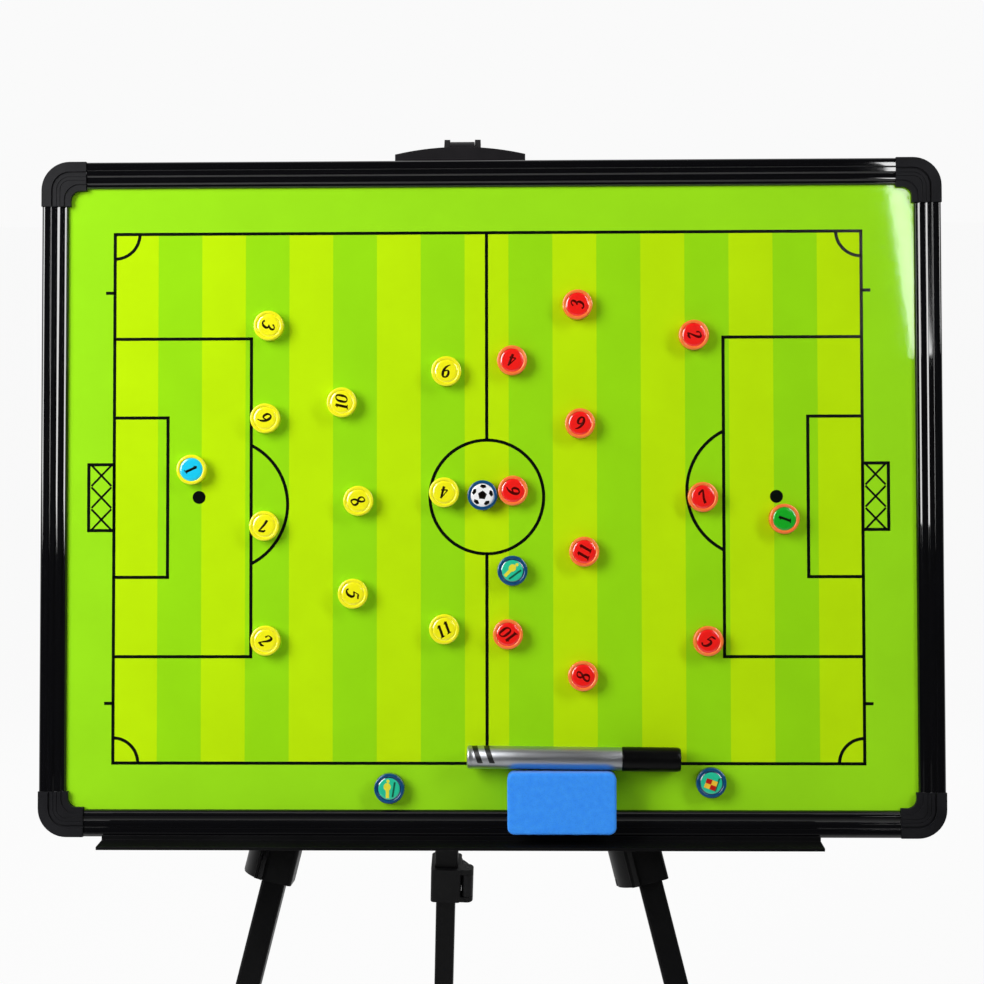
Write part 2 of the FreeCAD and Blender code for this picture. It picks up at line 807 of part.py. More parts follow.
def collar(node, place, length):
    """Clamp collar: upper socket on the tube, split lower bore, two ears for the lever."""
    body = new_body(f"{node}Body")
    side = S.collar_width / 2
    front = S.collar_depth / 2
    block = rounded_rectangle(-side, -front, side, front, S.collar_corner)
    pad(body, drawn(body, f"{node}Block", "XY_Plane", [block], start=-length), S.collar_height)
    ear = [
        (-side + S.collar_corner, S.knuckle_back - S.knuckle_radius),
        (-side + S.collar_corner, S.knuckle_back + S.knuckle_radius),
        (ear_pin_x, S.knuckle_back + S.knuckle_radius, S.knuckle_radius),
        (ear_pin_x - S.knuckle_radius, S.knuckle_back, S.knuckle_radius),
        (ear_pin_x, S.knuckle_back - S.knuckle_radius),
    ]
    for number, start in enumerate((-length, S.collar_height - length - S.ear_height), start=1):
        pad(body, drawn(body, f"{node}Ear{number}", "XY_Plane", [ear], start=start), S.ear_height)
    socket = S.upper_tube / 2
    pocket(body, drawn(body, f"{node}Socket", "XY_Plane", [rectangle(-socket, -socket, socket, socket)],
                       start=S.collar_height - length - S.collar_grip), S.collar_grip)
    bore = rectangle(-lower_bore, -lower_bore, lower_bore, lower_bore)
    pocket(body, drawn(body, f"{node}Bore", "XY_Plane", [bore], start=-length), S.collar_height)
    slit = rectangle(-side, -S.collar_slit / 2, -lower_bore, S.collar_slit / 2)
    pocket(body, drawn(body, f"{node}Slit", "XY_Plane", [slit], start=-length),
           S.collar_height - S.collar_grip)
    trunnion_hole = [(ear_pin_x, S.knuckle_back, S.trunnion_radius + S.pin_play)]
    pocket(body, drawn(body, f"{node}PinHole", "XY_Plane", circles=trunnion_hole, start=-length),
           S.collar_height)
    keep(node, body, place)


def lever(node, place, length):
    """Bowed flip lever under the upper ear: wraps the collar's corner, turns on its own trunnions."""
    body = new_body(f"{node}Body")
    wrap = -(S.collar_depth / 2 + S.lever_play)
    tip = -S.collar_width / 2 + S.lever_lap
    inside = ear_pin_x + S.knuckle_radius
    outside = ear_pin_x - S.knuckle_radius
    section = [
        (inside, S.knuckle_back, S.knuckle_radius),
        (ear_pin_x, S.knuckle_back + S.knuckle_radius, S.knuckle_radius),
        (outside, S.knuckle_back, S.lever_bow),
        (tip, wrap - S.lever_lip), (tip, wrap), (inside, wrap),
    ]
    ear_gap = S.ear_height + S.collar_play
    pad(body, drawn(body, f"{node}Section", "XY_Plane", [section], start=-length), S.collar_height - ear_gap)
    relief = S.knuckle_radius + S.lever_play
    around_ear = rectangle(ear_pin_x - relief, S.knuckle_back - relief,
                           inside + relief, S.knuckle_back + relief)
    pocket(body, drawn(body, f"{node}EarGap", "XY_Plane", [around_ear], start=-length), ear_gap)
    trunnion = [(ear_pin_x, S.knuckle_back, S.trunnion_radius)]
    pad(body, drawn(body, f"{node}Trunnion", "XY_Plane", circles=trunnion, start=-length), S.collar_height)
    keep(node, body, place)


def lower_tube(node, place, leg_length):
    body = new_body(f"{node}Body")
    half = S.lower_tube / 2
    inner = half - S.tube_wall
    loops = [rounded_rectangle(-half, -half, half, half, S.tube_corner),
             rounded_rectangle(-inner, -inner, inner, inner, S.tube_corner - S.tube_wall)]
    pad(body, drawn(body, f"{node}Section", "XY_Plane", loops), lower_length)
    keep(node, body, place * moved(z=S.foot_sole - leg_length))


def foot(node, place, leg_length):
    """Rubber boot on the tube's end, cut level where it stands on the floor."""
    body = new_body(f"{node}Boot")
    half = S.foot_width / 2
    boot = rounded_rectangle(-half, -half, half, half, S.foot_corner)
    pad(body, drawn(body, f"{node}Outline", "XY_Plane", [boot], start=-S.foot_width),
        S.foot_height + S.foot_width)
    inside = S.lower_tube / 2
    socket = rectangle(-inside, -inside, inside, inside)
    pocket(body, drawn(body, f"{node}Socket", "XY_Plane", [socket], start=S.foot_sole), S.foot_height)
    body.Placement = place * moved(z=-leg_length)
    ground = doc.addObject("Part::Box", f"{node}Ground")
    for side in ("Length", "Width", "Height"):
        bound(ground, side, S.foot_width * 4)
    sole = body.Placement.Base
    ground.Placement = moved(sole.x - float(S.foot_width) * 2, sole.y - float(S.foot_width) * 2,
                             -float(S.foot_width) * 4)
    level = doc.addObject("Part::Cut", f"{node}Level")
    level.Base = body
    level.Tool = ground
    doc.recompute()
    keep(node, level, Placement())


def leg(name, place, upper_length, leg_length, top, pinned):
    upper_tube(f"{name}_upper_tube", place, top, upper_length, pinned)
    collar(f"{name}_collar", place, upper_length)
    lever(f"{name}_lever", place, upper_length)
    lower_tube(f"{name}_lower_tube", place, leg_length)
    foot(f"{name}_foot", place, leg_length)


left_leg = stand * moved(x=-S.pivot_spread / 2) * turned(DEPTH, S.splay)
right_leg = stand * moved(x=S.pivot_spread / 2) * turned(DEPTH, -S.splay)
rear_pivot = (stand * moved(y=S.rear_pivot_back, z=S.rear_pivot_up)
              * turned(ACROSS, S.rear_angle) * turned(UP, 180))
rear_leg = rear_pivot * turned(DEPTH, -S.rear_sway)
leg("left_leg", left_leg, front_upper, front_length, S.tube_top, pinned=True)
leg("right_leg", right_leg, front_upper, front_length, S.tube_top, pinned=True)
leg("rear_leg", rear_leg, S.rear_upper, as_size(rear_length), -S.tongue_neck, pinned=False)


# Hinge tongue of the rear leg: cheeks square to the pin between the lugs, and a plug in the tube's end
def rear_hinge():
    cheeks = new_body("rearTongue")
    half = S.tongue_width / 2
    neck_end = S.tongue_neck * math.cos(rear_sway) - S.upper_tube / 2 * math.sin(rear_sway)
    cheek = [
        (-S.tongue_round, -neck_end), (S.tongue_round, -neck_end),
        (S.tongue_round, 0, S.tongue_round), (0, S.tongue_round, S.tongue_round), (-S.tongue_round, 0),
    ]
    pad(cheeks, drawn(cheeks, "tongueCheek", "YZ_Plane", [cheek]), half * 2, symmetric=True)
    hole = [(0, 0, S.pin_radius + S.pin_play)]
    pocket(cheeks, drawn(cheeks, "tongueHole", "YZ_Plane", circles=hole), S.head_width, symmetric=True)
    plug = new_body("rearPlug")
    inside = S.upper_tube / 2 - S.tube_wall
    section = rounded_rectangle(-inside, -inside, inside, inside, S.tube_corner - S.tube_wall)
    plug_top = S.tongue_neck - S.tube_wall
    pad(plug, drawn(plug, "plugSection", "XY_Plane", [section], start=-plug_top - S.plug_depth), S.plug_depth)
    plug.Placement = turned(DEPTH, -S.rear_sway)
    joined = doc.addObject("Part::MultiFuse", "rearHingeJoined")
    joined.Shapes = [cheeks, plug]
    doc.recompute()
    keep("rear_leg_hinge", joined, rear_pivot)


rear_hinge()


# Ledge: one bent profile with a seat for the board, a hook behind it and a sloping apron in front
ledge_place = stand * moved(0, -S.leg_setback, S.pivot_drop - S.board_height)
channel_front = S.rest_gap + S.ledge_wall
channel_back = channel_front + S.ledge_channel
hook_back = channel_back + S.ledge_wall


def ledge():
    """Profile from the board's lower back edge: -Y in front of it, +Y behind it."""
    body = new_body("ledgeBar")
    stop_back = -(S.rail_depth + S.rest_gap)
    stop_front = stop_back - S.ledge_wall
    apron_end = stop_front - S.apron_depth
    profile = [
        (stop_back, 0), (S.rest_gap, 0), (S.rest_gap, S.ledge_web), (hook_back, S.ledge_web),
        (hook_back, S.ledge_web - S.ledge_hook), (channel_back, S.ledge_web - S.ledge_hook),
        (channel_back, S.ledge_web - S.ledge_wall), (channel_front, S.ledge_web - S.ledge_wall),
        (channel_front, -S.ledge_seat), (stop_front, -S.ledge_seat),
        (apron_end + S.ledge_wall, -S.ledge_seat - S.apron_drop),
        (apron_end + S.ledge_wall, -S.apron_lip - S.apron_drop),
        (apron_end, -S.apron_lip - S.apron_drop), (apron_end, -S.apron_drop - S.ledge_seat / 2),
        (stop_front, -S.ledge_seat / 2), (stop_front, S.ledge_stop), (stop_back, S.ledge_stop),
    ]
    pad(body, drawn(body, "ledgeProfile", "YZ_Plane", [profile]), S.ledge_length, symmetric=True)
    keep("ledge_bar", body, ledge_place)


ledge()


# Ledge hangers: a band round each front leg with an upright tongue that the ledge hooks over
def hanger(node, side):
    """Drawn upright in the easel's frame; its band sits on the collar of the slanting tube."""
    seat_up = S.pivot_drop - S.board_height
    along = -float(seat_up) / math.cos(splay)
    out = side * (float(S.pivot_spread) / 2 + along * math.sin(splay))
    band = new_body(f"{node}Band")
    half = S.upper_tube / 2
    outer = half + S.hanger_wall
    loops = [rounded_rectangle(-outer, -outer, outer, outer, S.tube_corner + S.hanger_wall),
             rectangle(-half, -half, half, half)]
    pad(band, drawn(band, f"{node}Ring", "XY_Plane", loops), S.hanger_height)
    band.Placement = (moved(side * S.pivot_spread / 2) * turned(DEPTH, -side * S.splay)
                      * moved(z=S.collar_height - front_upper))
    tongue_front = channel_front + (S.ledge_channel - S.hanger_tongue) / 2 - S.leg_setback
    tongue = new_body(f"{node}Tongue")
    foot_top = S.ledge_web - S.ledge_hook - S.rest_gap
    bracket = [
        (tongue_front, 0), (-half, 0), (-half, foot_top),
        (tongue_front + S.hanger_tongue, foot_top),
        (tongue_front + S.hanger_tongue, S.ledge_web - S.ledge_wall),
        (tongue_front, S.ledge_web - S.ledge_wall),
    ]
    pad(tongue, drawn(tongue, f"{node}Profile", "YZ_Plane", [bracket]), S.hanger_width, symmetric=True)
    tongue.Placement = moved(out, 0, seat_up)
    joined = doc.addObject("Part::MultiFuse", f"{node}Joined")
    joined.Shapes = [band, tongue]
    doc.recompute()
    keep(node, joined, stand)


hanger("left_ledge_hanger", -1)
hanger("right_ledge_hanger", 1)

doc.recompute()

# Every object has to be sound before anything is written.
for item in doc.Objects:
    if "Invalid" in item.State or "Error" in item.State:
        raise RuntimeError(f"{item.Label} failed: {item.State}")
for node, item in nodes.items():
    if item.Shape.isNull() or not item.Shape.isValid() or item.Shape.Volume <= 0:
        raise RuntimeError(f"{node} has no sound solid")

os.makedirs("parts", exist_ok=True)
for node, item in nodes.items():
    item.Shape.exportStep(f"parts/{node}.step")
print(f"{len(nodes)} sub-parts, {sum(len(item.Shape.Solids) for item in nodes.values())} solids")
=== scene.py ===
import json
import math

import bpy
from mathutils import Matrix, Vector

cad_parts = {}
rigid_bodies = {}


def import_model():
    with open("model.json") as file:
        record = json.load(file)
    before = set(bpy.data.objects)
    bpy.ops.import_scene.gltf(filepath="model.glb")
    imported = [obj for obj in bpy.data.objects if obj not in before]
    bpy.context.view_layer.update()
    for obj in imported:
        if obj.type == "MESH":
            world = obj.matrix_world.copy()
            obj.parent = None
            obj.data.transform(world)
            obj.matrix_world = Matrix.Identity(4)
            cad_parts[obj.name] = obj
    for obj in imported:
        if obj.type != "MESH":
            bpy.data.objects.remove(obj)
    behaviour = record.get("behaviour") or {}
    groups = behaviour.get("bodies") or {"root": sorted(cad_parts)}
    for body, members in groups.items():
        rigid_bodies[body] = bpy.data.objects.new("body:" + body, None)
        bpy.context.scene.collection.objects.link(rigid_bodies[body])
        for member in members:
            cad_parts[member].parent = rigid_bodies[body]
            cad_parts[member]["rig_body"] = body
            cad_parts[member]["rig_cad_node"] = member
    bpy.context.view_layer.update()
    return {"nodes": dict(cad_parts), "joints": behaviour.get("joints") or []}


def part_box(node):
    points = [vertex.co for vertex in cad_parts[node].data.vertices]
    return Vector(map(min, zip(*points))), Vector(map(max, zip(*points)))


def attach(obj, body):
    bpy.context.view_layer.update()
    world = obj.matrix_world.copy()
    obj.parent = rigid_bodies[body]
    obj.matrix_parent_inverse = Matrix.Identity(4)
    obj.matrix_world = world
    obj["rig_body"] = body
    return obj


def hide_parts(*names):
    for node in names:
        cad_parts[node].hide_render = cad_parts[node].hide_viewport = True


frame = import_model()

MM = 0.001

# Easel head: a black ABS yoke, injection moulded, that shows as a low arch above the board.
# The front legs are pinned between its cheeks, and two lugs behind it take the rear leg.
# Here and below, sizes are in millimetres and angles in degrees.
HEAD_EDGE = 0.7
WELD = 0.002
FLAT_WITHIN, SMOOTH_BELOW, BREAK_ABOVE = 0.5, 38, 32
TOOL_GRAIN = 0.9
NOISE_SPAN = {"From Min": 0.3, "From Max": 0.7}


def deselect():
    """Object mode with nothing picked, as each new piece starts."""
    if bpy.context.object and bpy.context.object.mode != "OBJECT":
        bpy.ops.object.mode_set(mode="OBJECT")
    bpy.ops.object.select_all(action="DESELECT")


def pick(piece):
    """Make one object the only selected and the active one."""
    deselect()
    piece.select_set(True)
    bpy.context.view_layer.objects.active = piece


def wear(piece, material):
    """Give a piece its one material."""
    piece.data.materials.clear()
    piece.data.materials.append(material)


def softened(node, name, edge, material, steps=2):
    """A sub-part's finished form: its sharp edges broken to a small radius, in its material."""
    pick(frame["nodes"][node])
    bpy.ops.object.duplicate()
    piece = bpy.context.object
    piece.name = name
    del piece["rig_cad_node"]
    bpy.ops.object.parent_clear(type="CLEAR_KEEP_TRANSFORM")
    bpy.ops.mesh.customdata_custom_splitnormals_clear()
    bpy.ops.object.mode_set(mode="EDIT")
    bpy.ops.mesh.select_all(action="SELECT")
    bpy.ops.mesh.remove_doubles(threshold=WELD * MM)
    bpy.ops.mesh.dissolve_limited(angle_limit=math.radians(FLAT_WITHIN))
    bpy.ops.object.mode_set(mode="OBJECT")
    bpy.ops.object.shade_smooth_by_angle(angle=math.radians(SMOOTH_BELOW))
    bpy.ops.object.modifier_add(type="BEVEL")
    edges = piece.modifiers[-1]
    edges.width = edge * MM
    edges.segments = steps
    edges.limit_method = "ANGLE"
    edges.angle_limit = math.radians(BREAK_ABOVE)
    edges.harden_normals = True
    bpy.ops.object.modifier_apply(modifier=edges.name)
    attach(piece, piece["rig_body"])
    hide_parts(node)
    wear(piece, material)


def srgb(hex_colour):
    """Linear colour, with alpha, of an sRGB hex value."""
    parts = [int(hex_colour[at:at + 2], 16) / 255 for at in (1, 3, 5)]
    return (*[p / 12.92 if p <= 0.04045 else ((p + 0.055) / 1.055) ** 2.4 for p in parts], 1.0)


def add(material, kind, inputs=None, **settings):
    """One shader node with its settings; each input is a value or another node's output."""
    made = material.node_tree.nodes.new(kind)
    for name, value in settings.items():
        setattr(made, name, value)
    for name, value in (inputs or {}).items():
        if isinstance(value, bpy.types.NodeSocket):
            material.node_tree.links.new(value, made.inputs[name])
        else:
            made.inputs[name].default_value = value
    return made


def new_surface(name):
    """An empty material, and the coordinates of the piece that wears it."""
    material = bpy.data.materials.new(name)
    material.use_nodes = True
    material.node_tree.nodes.clear()
    return material, add(material, "ShaderNodeTexCoord").outputs["Object"]


def show(material, shader):
    """Finish a material with the shader that it shows."""
    add(material, "ShaderNodeOutputMaterial", {"Surface": shader.outputs[0]})
    return material


def moulded_abs(name, dark, light, roughness):
    """ABS from a spark-eroded tool: satin, with faint flow marks and a grain coarse enough to show."""
    material, place = new_surface(name)
    grain = add(material, "ShaderNodeTexNoise", {
        "Vector": place, "Scale": 1 / (TOOL_GRAIN * MM), "Detail": 3.0})
    flow = add(material, "ShaderNodeTexNoise", {"Vector": place, "Scale": 1 / (22 * MM), "Detail": 2.0})
    tone = add(material, "ShaderNodeMix", {0: flow.outputs["Fac"], 6: srgb(dark), 7: srgb(light)},
               data_type="RGBA")
    sheen = add(material, "ShaderNodeMapRange", {
        "Value": flow.outputs["Fac"], **NOISE_SPAN,
        "To Min": roughness - 0.06, "To Max": roughness + 0.06})
    relief = add(material, "ShaderNodeBump", {
        "Height": grain.outputs["Fac"], "Strength": 0.25, "Distance": 0.08 * MM})
    return show(material, add(material, "ShaderNodeBsdfPrincipled", {
        "Base Color": tone.outputs[2], "Roughness": sheen.outputs["Result"],
        "Normal": relief.outputs["Normal"], "IOR": 1.53, "Specular IOR Level": 0.14}))


head_abs = moulded_abs("moulded_abs_head", "#141315", "#201E21", 0.48)
softened("easel_head", "head_yoke", HEAD_EDGE, head_abs)
softened("rear_leg_hinge", "rear_hinge_tongue", HEAD_EDGE, head_abs)

# Pivot pins: plain steel rivets, turned and set with low heads, through the head and the legs.
# The turning leaves fine marks that break the steel's shine.
PIN_EDGE = 0.25


def turned_steel():
    """Bright steel off the lathe: metallic, with fine uneven marks."""
    material, place = new_surface("turned_steel_pin")
    marks = add(material, "ShaderNodeTexNoise", {"Vector": place, "Scale": 1 / (0.6 * MM), "Detail": 4.0})
    tone = add(material, "ShaderNodeMix", {
        0: marks.outputs["Fac"], 6: srgb("#8C8E92"), 7: srgb("#B4B6BA")}, data_type="RGBA")
    sheen = add(material, "ShaderNodeMapRange", {
        "Value": marks.outputs["Fac"], "To Min": 0.22, "To Max": 0.42})
    return show(material, add(material, "ShaderNodeBsdfPrincipled", {
        "Base Color": tone.outputs[2], "Metallic": 1.0, "Roughness": sheen.outputs["Result"]}))


pin_steel = turned_steel()
for node in ("front_pivot_pins", "rear_pivot_pin"):
    softened(node, f"{node}_set", PIN_EDGE, pin_steel)

# Leg tubes: square steel tube, black powder coated. The lower tube slides in the upper one.
# The coat flows into a slight orange peel and shines along the rounded corners.
LEGS = ("left_leg", "right_leg", "rear_leg")


def powder_coat(name, dark, light, roughness):
    """Baked black powder: satin gloss with an orange peel about 1.5 mm across."""
    material, place = new_surface(name)
    peel = add(material, "ShaderNodeTexNoise", {"Vector": place, "Scale": 1 / (1.5 * MM), "Detail": 1.0})
    cloud = add(material, "ShaderNodeTexNoise", {"Vector": place, "Scale": 1 / (60 * MM), "Detail": 3.0})
    tone = add(material, "ShaderNodeMix", {0: cloud.outputs["Fac"], 6: srgb(dark), 7: srgb(light)},
               data_type="RGBA")
    sheen = add(material, "ShaderNodeMapRange", {
        "Value": cloud.outputs["Fac"], **NOISE_SPAN,
        "To Min": roughness - 0.05, "To Max": roughness + 0.07})
    relief = add(material, "ShaderNodeBump", {
        "Height": peel.outputs["Fac"], "Strength": 0.18, "Distance": 0.06 * MM})
    return show(material, add(material, "ShaderNodeBsdfPrincipled", {
        "Base Color": tone.outputs[2], "Roughness": sheen.outputs["Result"],
        "Normal": relief.outputs["Normal"], "IOR": 1.5, "Specular IOR Level": 0.15}))


tube_coat = powder_coat("powder_coat_tube", "#050506", "#0D0D0E", 0.46)
for leg in LEGS:
    for stage in ("upper_tube", "lower_tube"):
        frame["nodes"][f"{leg}_{stage}"].material_slots[0].material = tube_coat

# Flip locks: a split collar and its bowed lever on each leg, both moulded in black ABS.
# The lever's trunnions sit in the collar's ears, and closing it clamps the lower tube.
COLLAR_EDGE = 0.6
LEVER_EDGE = 0.8
collar_abs = moulded_abs("moulded_abs_collar", "#0C0C0D", "#161617", 0.46)
lever_abs = moulded_abs("moulded_abs_lever", "#121213", "#1E1E1F", 0.4)
for leg in LEGS:
    softened(f"{leg}_collar", f"{leg}_lock_collar", COLLAR_EDGE, collar_abs)
    softened(f"{leg}_lever", f"{leg}_lock_lever", LEVER_EDGE, lever_abs, steps=3)

# Feet: soft rubber boots pushed over the tube ends, cut level where they stand.
# Moulded rubber is dull and a little dusty, with a pebbled skin.
FOOT_EDGE = 1.2


def moulded_rubber():
    """Carbon-filled rubber: nearly black, dull, greyed by dust in broad patches."""
    material, place = new_surface("moulded_rubber_foot")
    pebble = add(material, "ShaderNodeTexVoronoi", {"Vector": place, "Scale": 1 / (1.4 * MM)})
    dust = add(material, "ShaderNodeTexNoise", {"Vector": place, "Scale": 1 / (12 * MM), "Detail": 5.0})
    tone = add(material, "ShaderNodeMix", {
        0: dust.outputs["Fac"], 6: srgb("#0F0F10"), 7: srgb("#232324")}, data_type="RGBA")
    relief = add(material, "ShaderNodeBump", {
        "Height": pebble.outputs["Distance"], "Strength": 0.3, "Distance": 0.1 * MM})
    return show(material, add(material, "ShaderNodeBsdfPrincipled", {
        "Base Color": tone.outputs[2], "Roughness": 0.78, "Normal": relief.outputs["Normal"],
        "IOR": 1.52, "Specular IOR Level": 0.3}))


foot_rubber = moulded_rubber()
for leg in LEGS:
    softened(f"{leg}_foot", f"{leg}_rubber_boot", FOOT_EDGE, foot_rubber, steps=3)

# Ledge and its hangers: ABS bands on the front legs, and a bent, powder-coated ledge hooked on them.
# The board stands in the ledge's seat, and the sloping apron shows below the frame.
LEDGE_EDGE = 0.5
for side in ("left", "right"):
    softened(f"{side}_ledge_hanger", f"{side}_hanger_band", COLLAR_EDGE, collar_abs)
ledge_coat = powder_coat("powder_coat_ledge", "#050506", "#0C0C0D", 0.42)
softened("ledge_bar", "ledge_profile", LEDGE_EDGE, ledge_coat)

# Panel: a printed steel face, a fibre core and an aluminium back sheet, pressed into one board.
# The face carries the green field under a glossy film, so that pen marks wipe off.
FACE_THICKNESS = 0.6
PITCH_LEFT, PITCH_RIGHT, PITCH_HALF = -251.0, 247.0, 176.5
PITCH_MID, PITCH_REACH = (PITCH_LEFT + PITCH_RIGHT) / 2, (PITCH_RIGHT - PITCH_LEFT) / 2
STRIPES = 17

slides = {joint["name"]: Vector(joint["axis"]) for joint in frame["joints"]}
board_up, board_out = slides["board_lift"], slides["eraser_pull"]
board_across = board_up.cross(board_out)
sheet_low, sheet_high = (Vector(corner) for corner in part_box("face_sheet"))
face_centre = (sheet_low + sheet_high) / 2 + board_out * FACE_THICKNESS / 2 * MM
board = Matrix((board_across, board_up, board_out)).transposed().to_4x4()
board.translation = face_centre


def board_surface(name):
    """An empty material, and its coordinates across, up and out of the face's middle, in metres."""
    material, place = new_surface(name)
    on_board = add(material, "ShaderNodeMapping", {
        "Vector": place, "Location": face_centre, "Rotation": board.to_euler()}, vector_type="TEXTURE")
    return material, on_board.outputs[0]


def printed_face():
    """Screen print under a clear film on steel: glossy, with a faint peel and wiped streaks."""
    material, place = board_surface("printed_film_face")
    axes = add(material, "ShaderNodeSeparateXYZ", {0: place})
    stripe = 2 * PITCH_REACH / STRIPES * MM
    along = add(material, "ShaderNodeMath", {0: axes.outputs["X"], 1: -PITCH_LEFT * MM}, operation="ADD")
    count = add(material, "ShaderNodeMath", {0: along.outputs[0], 1: 2 * stripe}, operation="FLOORED_MODULO")
    dark_stripe = add(material, "ShaderNodeMath", {0: count.outputs[0], 1: stripe}, operation="GREATER_THAN")
    inside = 1.0
    for axis, middle, reach in (("X", PITCH_MID, PITCH_REACH), ("Y", 0, PITCH_HALF)):
        near = add(material, "ShaderNodeMath", {
            0: axes.outputs[axis], 1: middle * MM, 2: reach * MM}, operation="COMPARE")
        both = add(material, "ShaderNodeMath", {0: near.outputs[0], 1: inside}, operation="MULTIPLY")
        inside = both.outputs[0]
    ink = add(material, "ShaderNodeTexNoise", {"Vector": place, "Scale": 1 / (45 * MM), "Detail": 4.0})
    field = add(material, "ShaderNodeMix", {
        0: dark_stripe.outputs[0], 6: srgb("#BDEA0A"), 7: srgb("#98DF14")}, data_type="RGBA")
    print_tone = add(material, "ShaderNodeMix", {
        0: inside, 6: srgb("#9BE21C"), 7: field.outputs[2]}, data_type="RGBA")
    uneven = add(material, "ShaderNodeMapRange", {
        "Value": ink.outputs["Fac"], **NOISE_SPAN, "To Min": 0.97, "To Max": 1.03})
    tone = add(material, "ShaderNodeHueSaturation", {
        "Color": print_tone.outputs[2], "Value": uneven.outputs["Result"]})
    streak_place = add(material, "ShaderNodeMapping", {"Vector": place, "Scale": (1, 9, 1)})
    streak = add(material, "ShaderNodeTexNoise", {
        "Vector": streak_place.outputs[0], "Scale": 1 / (70 * MM), "Detail": 5.0})
    sheen = add(material, "ShaderNodeMapRange", {
        "Value": streak.outputs["Fac"], **NOISE_SPAN, "To Min": 0.025, "To Max": 0.05})
    peel = add(material, "ShaderNodeTexNoise", {"Vector": place, "Scale": 1 / (5 * MM), "Detail": 2.0})
    relief = add(material, "ShaderNodeBump", {
        "Height": peel.outputs["Fac"], "Strength": 0.2, "Distance": 0.05 * MM})
    return show(material, add(material, "ShaderNodeBsdfPrincipled", {
        "Base Color": tone.outputs[0], "Roughness": sheen.outputs["Result"],
        "Normal": relief.outputs["Normal"], "IOR": 1.5}))


def pressed_fibre():
    """Brown fibre board: dull, with short fibres in two tones."""
    material, place = new_surface("pressed_fibre_core")
    fibre = add(material, "ShaderNodeTexNoise", {"Vector": place, "Scale": 1 / (2 * MM), "Detail": 6.0})
    tone = add(material, "ShaderNodeMix", {
        0: fibre.outputs["Fac"], 6: srgb("#6E5638"), 7: srgb("#A88A60")}, data_type="RGBA")
    return show(material, add(material, "ShaderNodeBsdfPrincipled", {
        "Base Color": tone.outputs[2], "Roughness": 0.85, "IOR": 1.45}))


def mill_aluminium():
    """Rolled sheet as it leaves the mill: metallic grey with fine lines along the roll."""
    material, place = board_surface("mill_aluminium_back")
    roll = add(material, "ShaderNodeMapping", {"Vector": place, "Scale": (1, 60, 1)})
    lines = add(material, "ShaderNodeTexNoise", {
        "Vector": roll.outputs[0], "Scale": 1 / (90 * MM), "Detail": 6.0})
    smudge = add(material, "ShaderNodeTexNoise", {"Vector": place, "Scale": 1 / (80 * MM), "Detail": 4.0})
    tone = add(material, "ShaderNodeMix", {
        0: lines.outputs["Fac"], 6: srgb("#8E9094"), 7: srgb("#B2B4B8")}, data_type="RGBA")
    sheen = add(material, "ShaderNodeMapRange", {
        "Value": smudge.outputs["Fac"], **NOISE_SPAN, "To Min": 0.36, "To Max": 0.52})
    relief = add(material, "ShaderNodeBump", {
        "Height": lines.outputs["Fac"], "Strength": 0.15, "Distance": 0.05 * MM})
    return show(material, add(material, "ShaderNodeBsdfPrincipled", {
        "Base Color": tone.outputs[2], "Metallic": 1.0, "Roughness": sheen.outputs["Result"],
        "Normal": relief.outputs["Normal"]}))


frame["nodes"]["face_sheet"].material_slots[0].material = printed_face()
frame["nodes"]["core_panel"].material_slots[0].material = pressed_fibre()
frame["nodes"]["back_sheet"].material_slots[0].material = mill_aluminium()

# Pitch lines: near-black ink, screen printed on the green face as one pass after the stripes.
# The ink stands a few hundredths of a millimetre proud and takes the film's gloss.
LINE = 2.1
INK = 0.06
CENTRE_CIRCLE = 37.8
CORNER_ARC = 16.6
SPOT = 4.3
BOX_DEPTH, BOX_HALF = 91.8, 106.0
GOAL_BOX_DEPTH, GOAL_BOX_HALF = 36.0, 53.2
SPOT_IN = 57.0
ARC_CENTRE_IN, ARC_RADIUS = 72.0, 44.2
ARC_UP = {"left": -4.8, "right": 4.0}
GOAL_DEPTH, GOAL_HALF = 17.0, 22.0
TICK_UP, TICK = 137.0, 5.0
CROSS_IN, CROSS_GAP = 2.3, 0.9
NET_CELLS, NET_LINE = 3, LINE * 0.65
CORNER_START = {(1, 1): 270, (1, -1): 0, (-1, 1): 180, (-1, -1): 90}
ARC_STEP, SPOT_SIDES = 4, 40
ink_strips = []


def ink_bar(start, end, width=LINE):
    """A straight printed line from point to point on the face."""
    run = Vector(end) - Vector(start)
    middle = (Vector(end) + Vector(start)) / 2
    deselect()
    bpy.ops.mesh.primitive_cube_add(size=1)
    bar = bpy.context.object
    bar.scale = ((run.length + width) * MM, width * MM, INK * 2 * MM)
    bar.rotation_euler = (0, 0, math.atan2(run.y, run.x))
    bar.location = (middle.x * MM, middle.y * MM, 0)
    ink_strips.append(bar)


def ink_arc(centre, radius, start, sweep):
    """A printed arc: the line's section, spun about the arc's centre."""
    deselect()
    bpy.ops.mesh.primitive_plane_add(size=1)
    arc = bpy.context.object
    bpy.ops.object.mode_set(mode="EDIT")
    bpy.ops.mesh.select_all(action="SELECT")
    bpy.ops.transform.resize(value=(LINE * MM, INK * 2 * MM, 1))
    bpy.ops.transform.rotate(value=math.pi / 2, orient_axis="X", center_override=(0, 0, 0))
    bpy.ops.transform.translate(value=(radius * MM, 0, 0))
    bpy.ops.mesh.spin(steps=round(sweep / ARC_STEP), angle=-math.radians(sweep), center=(0, 0, 0),
                      axis=(0, 0, 1))
    bpy.ops.mesh.select_all(action="SELECT")
    bpy.ops.mesh.remove_doubles(threshold=WELD * MM)
    bpy.ops.mesh.normals_make_consistent(inside=False)
    bpy.ops.object.mode_set(mode="OBJECT")
    arc.rotation_euler = (0, 0, math.radians(start))
    arc.location = (centre[0] * MM, centre[1] * MM, 0)
    ink_strips.append(arc)


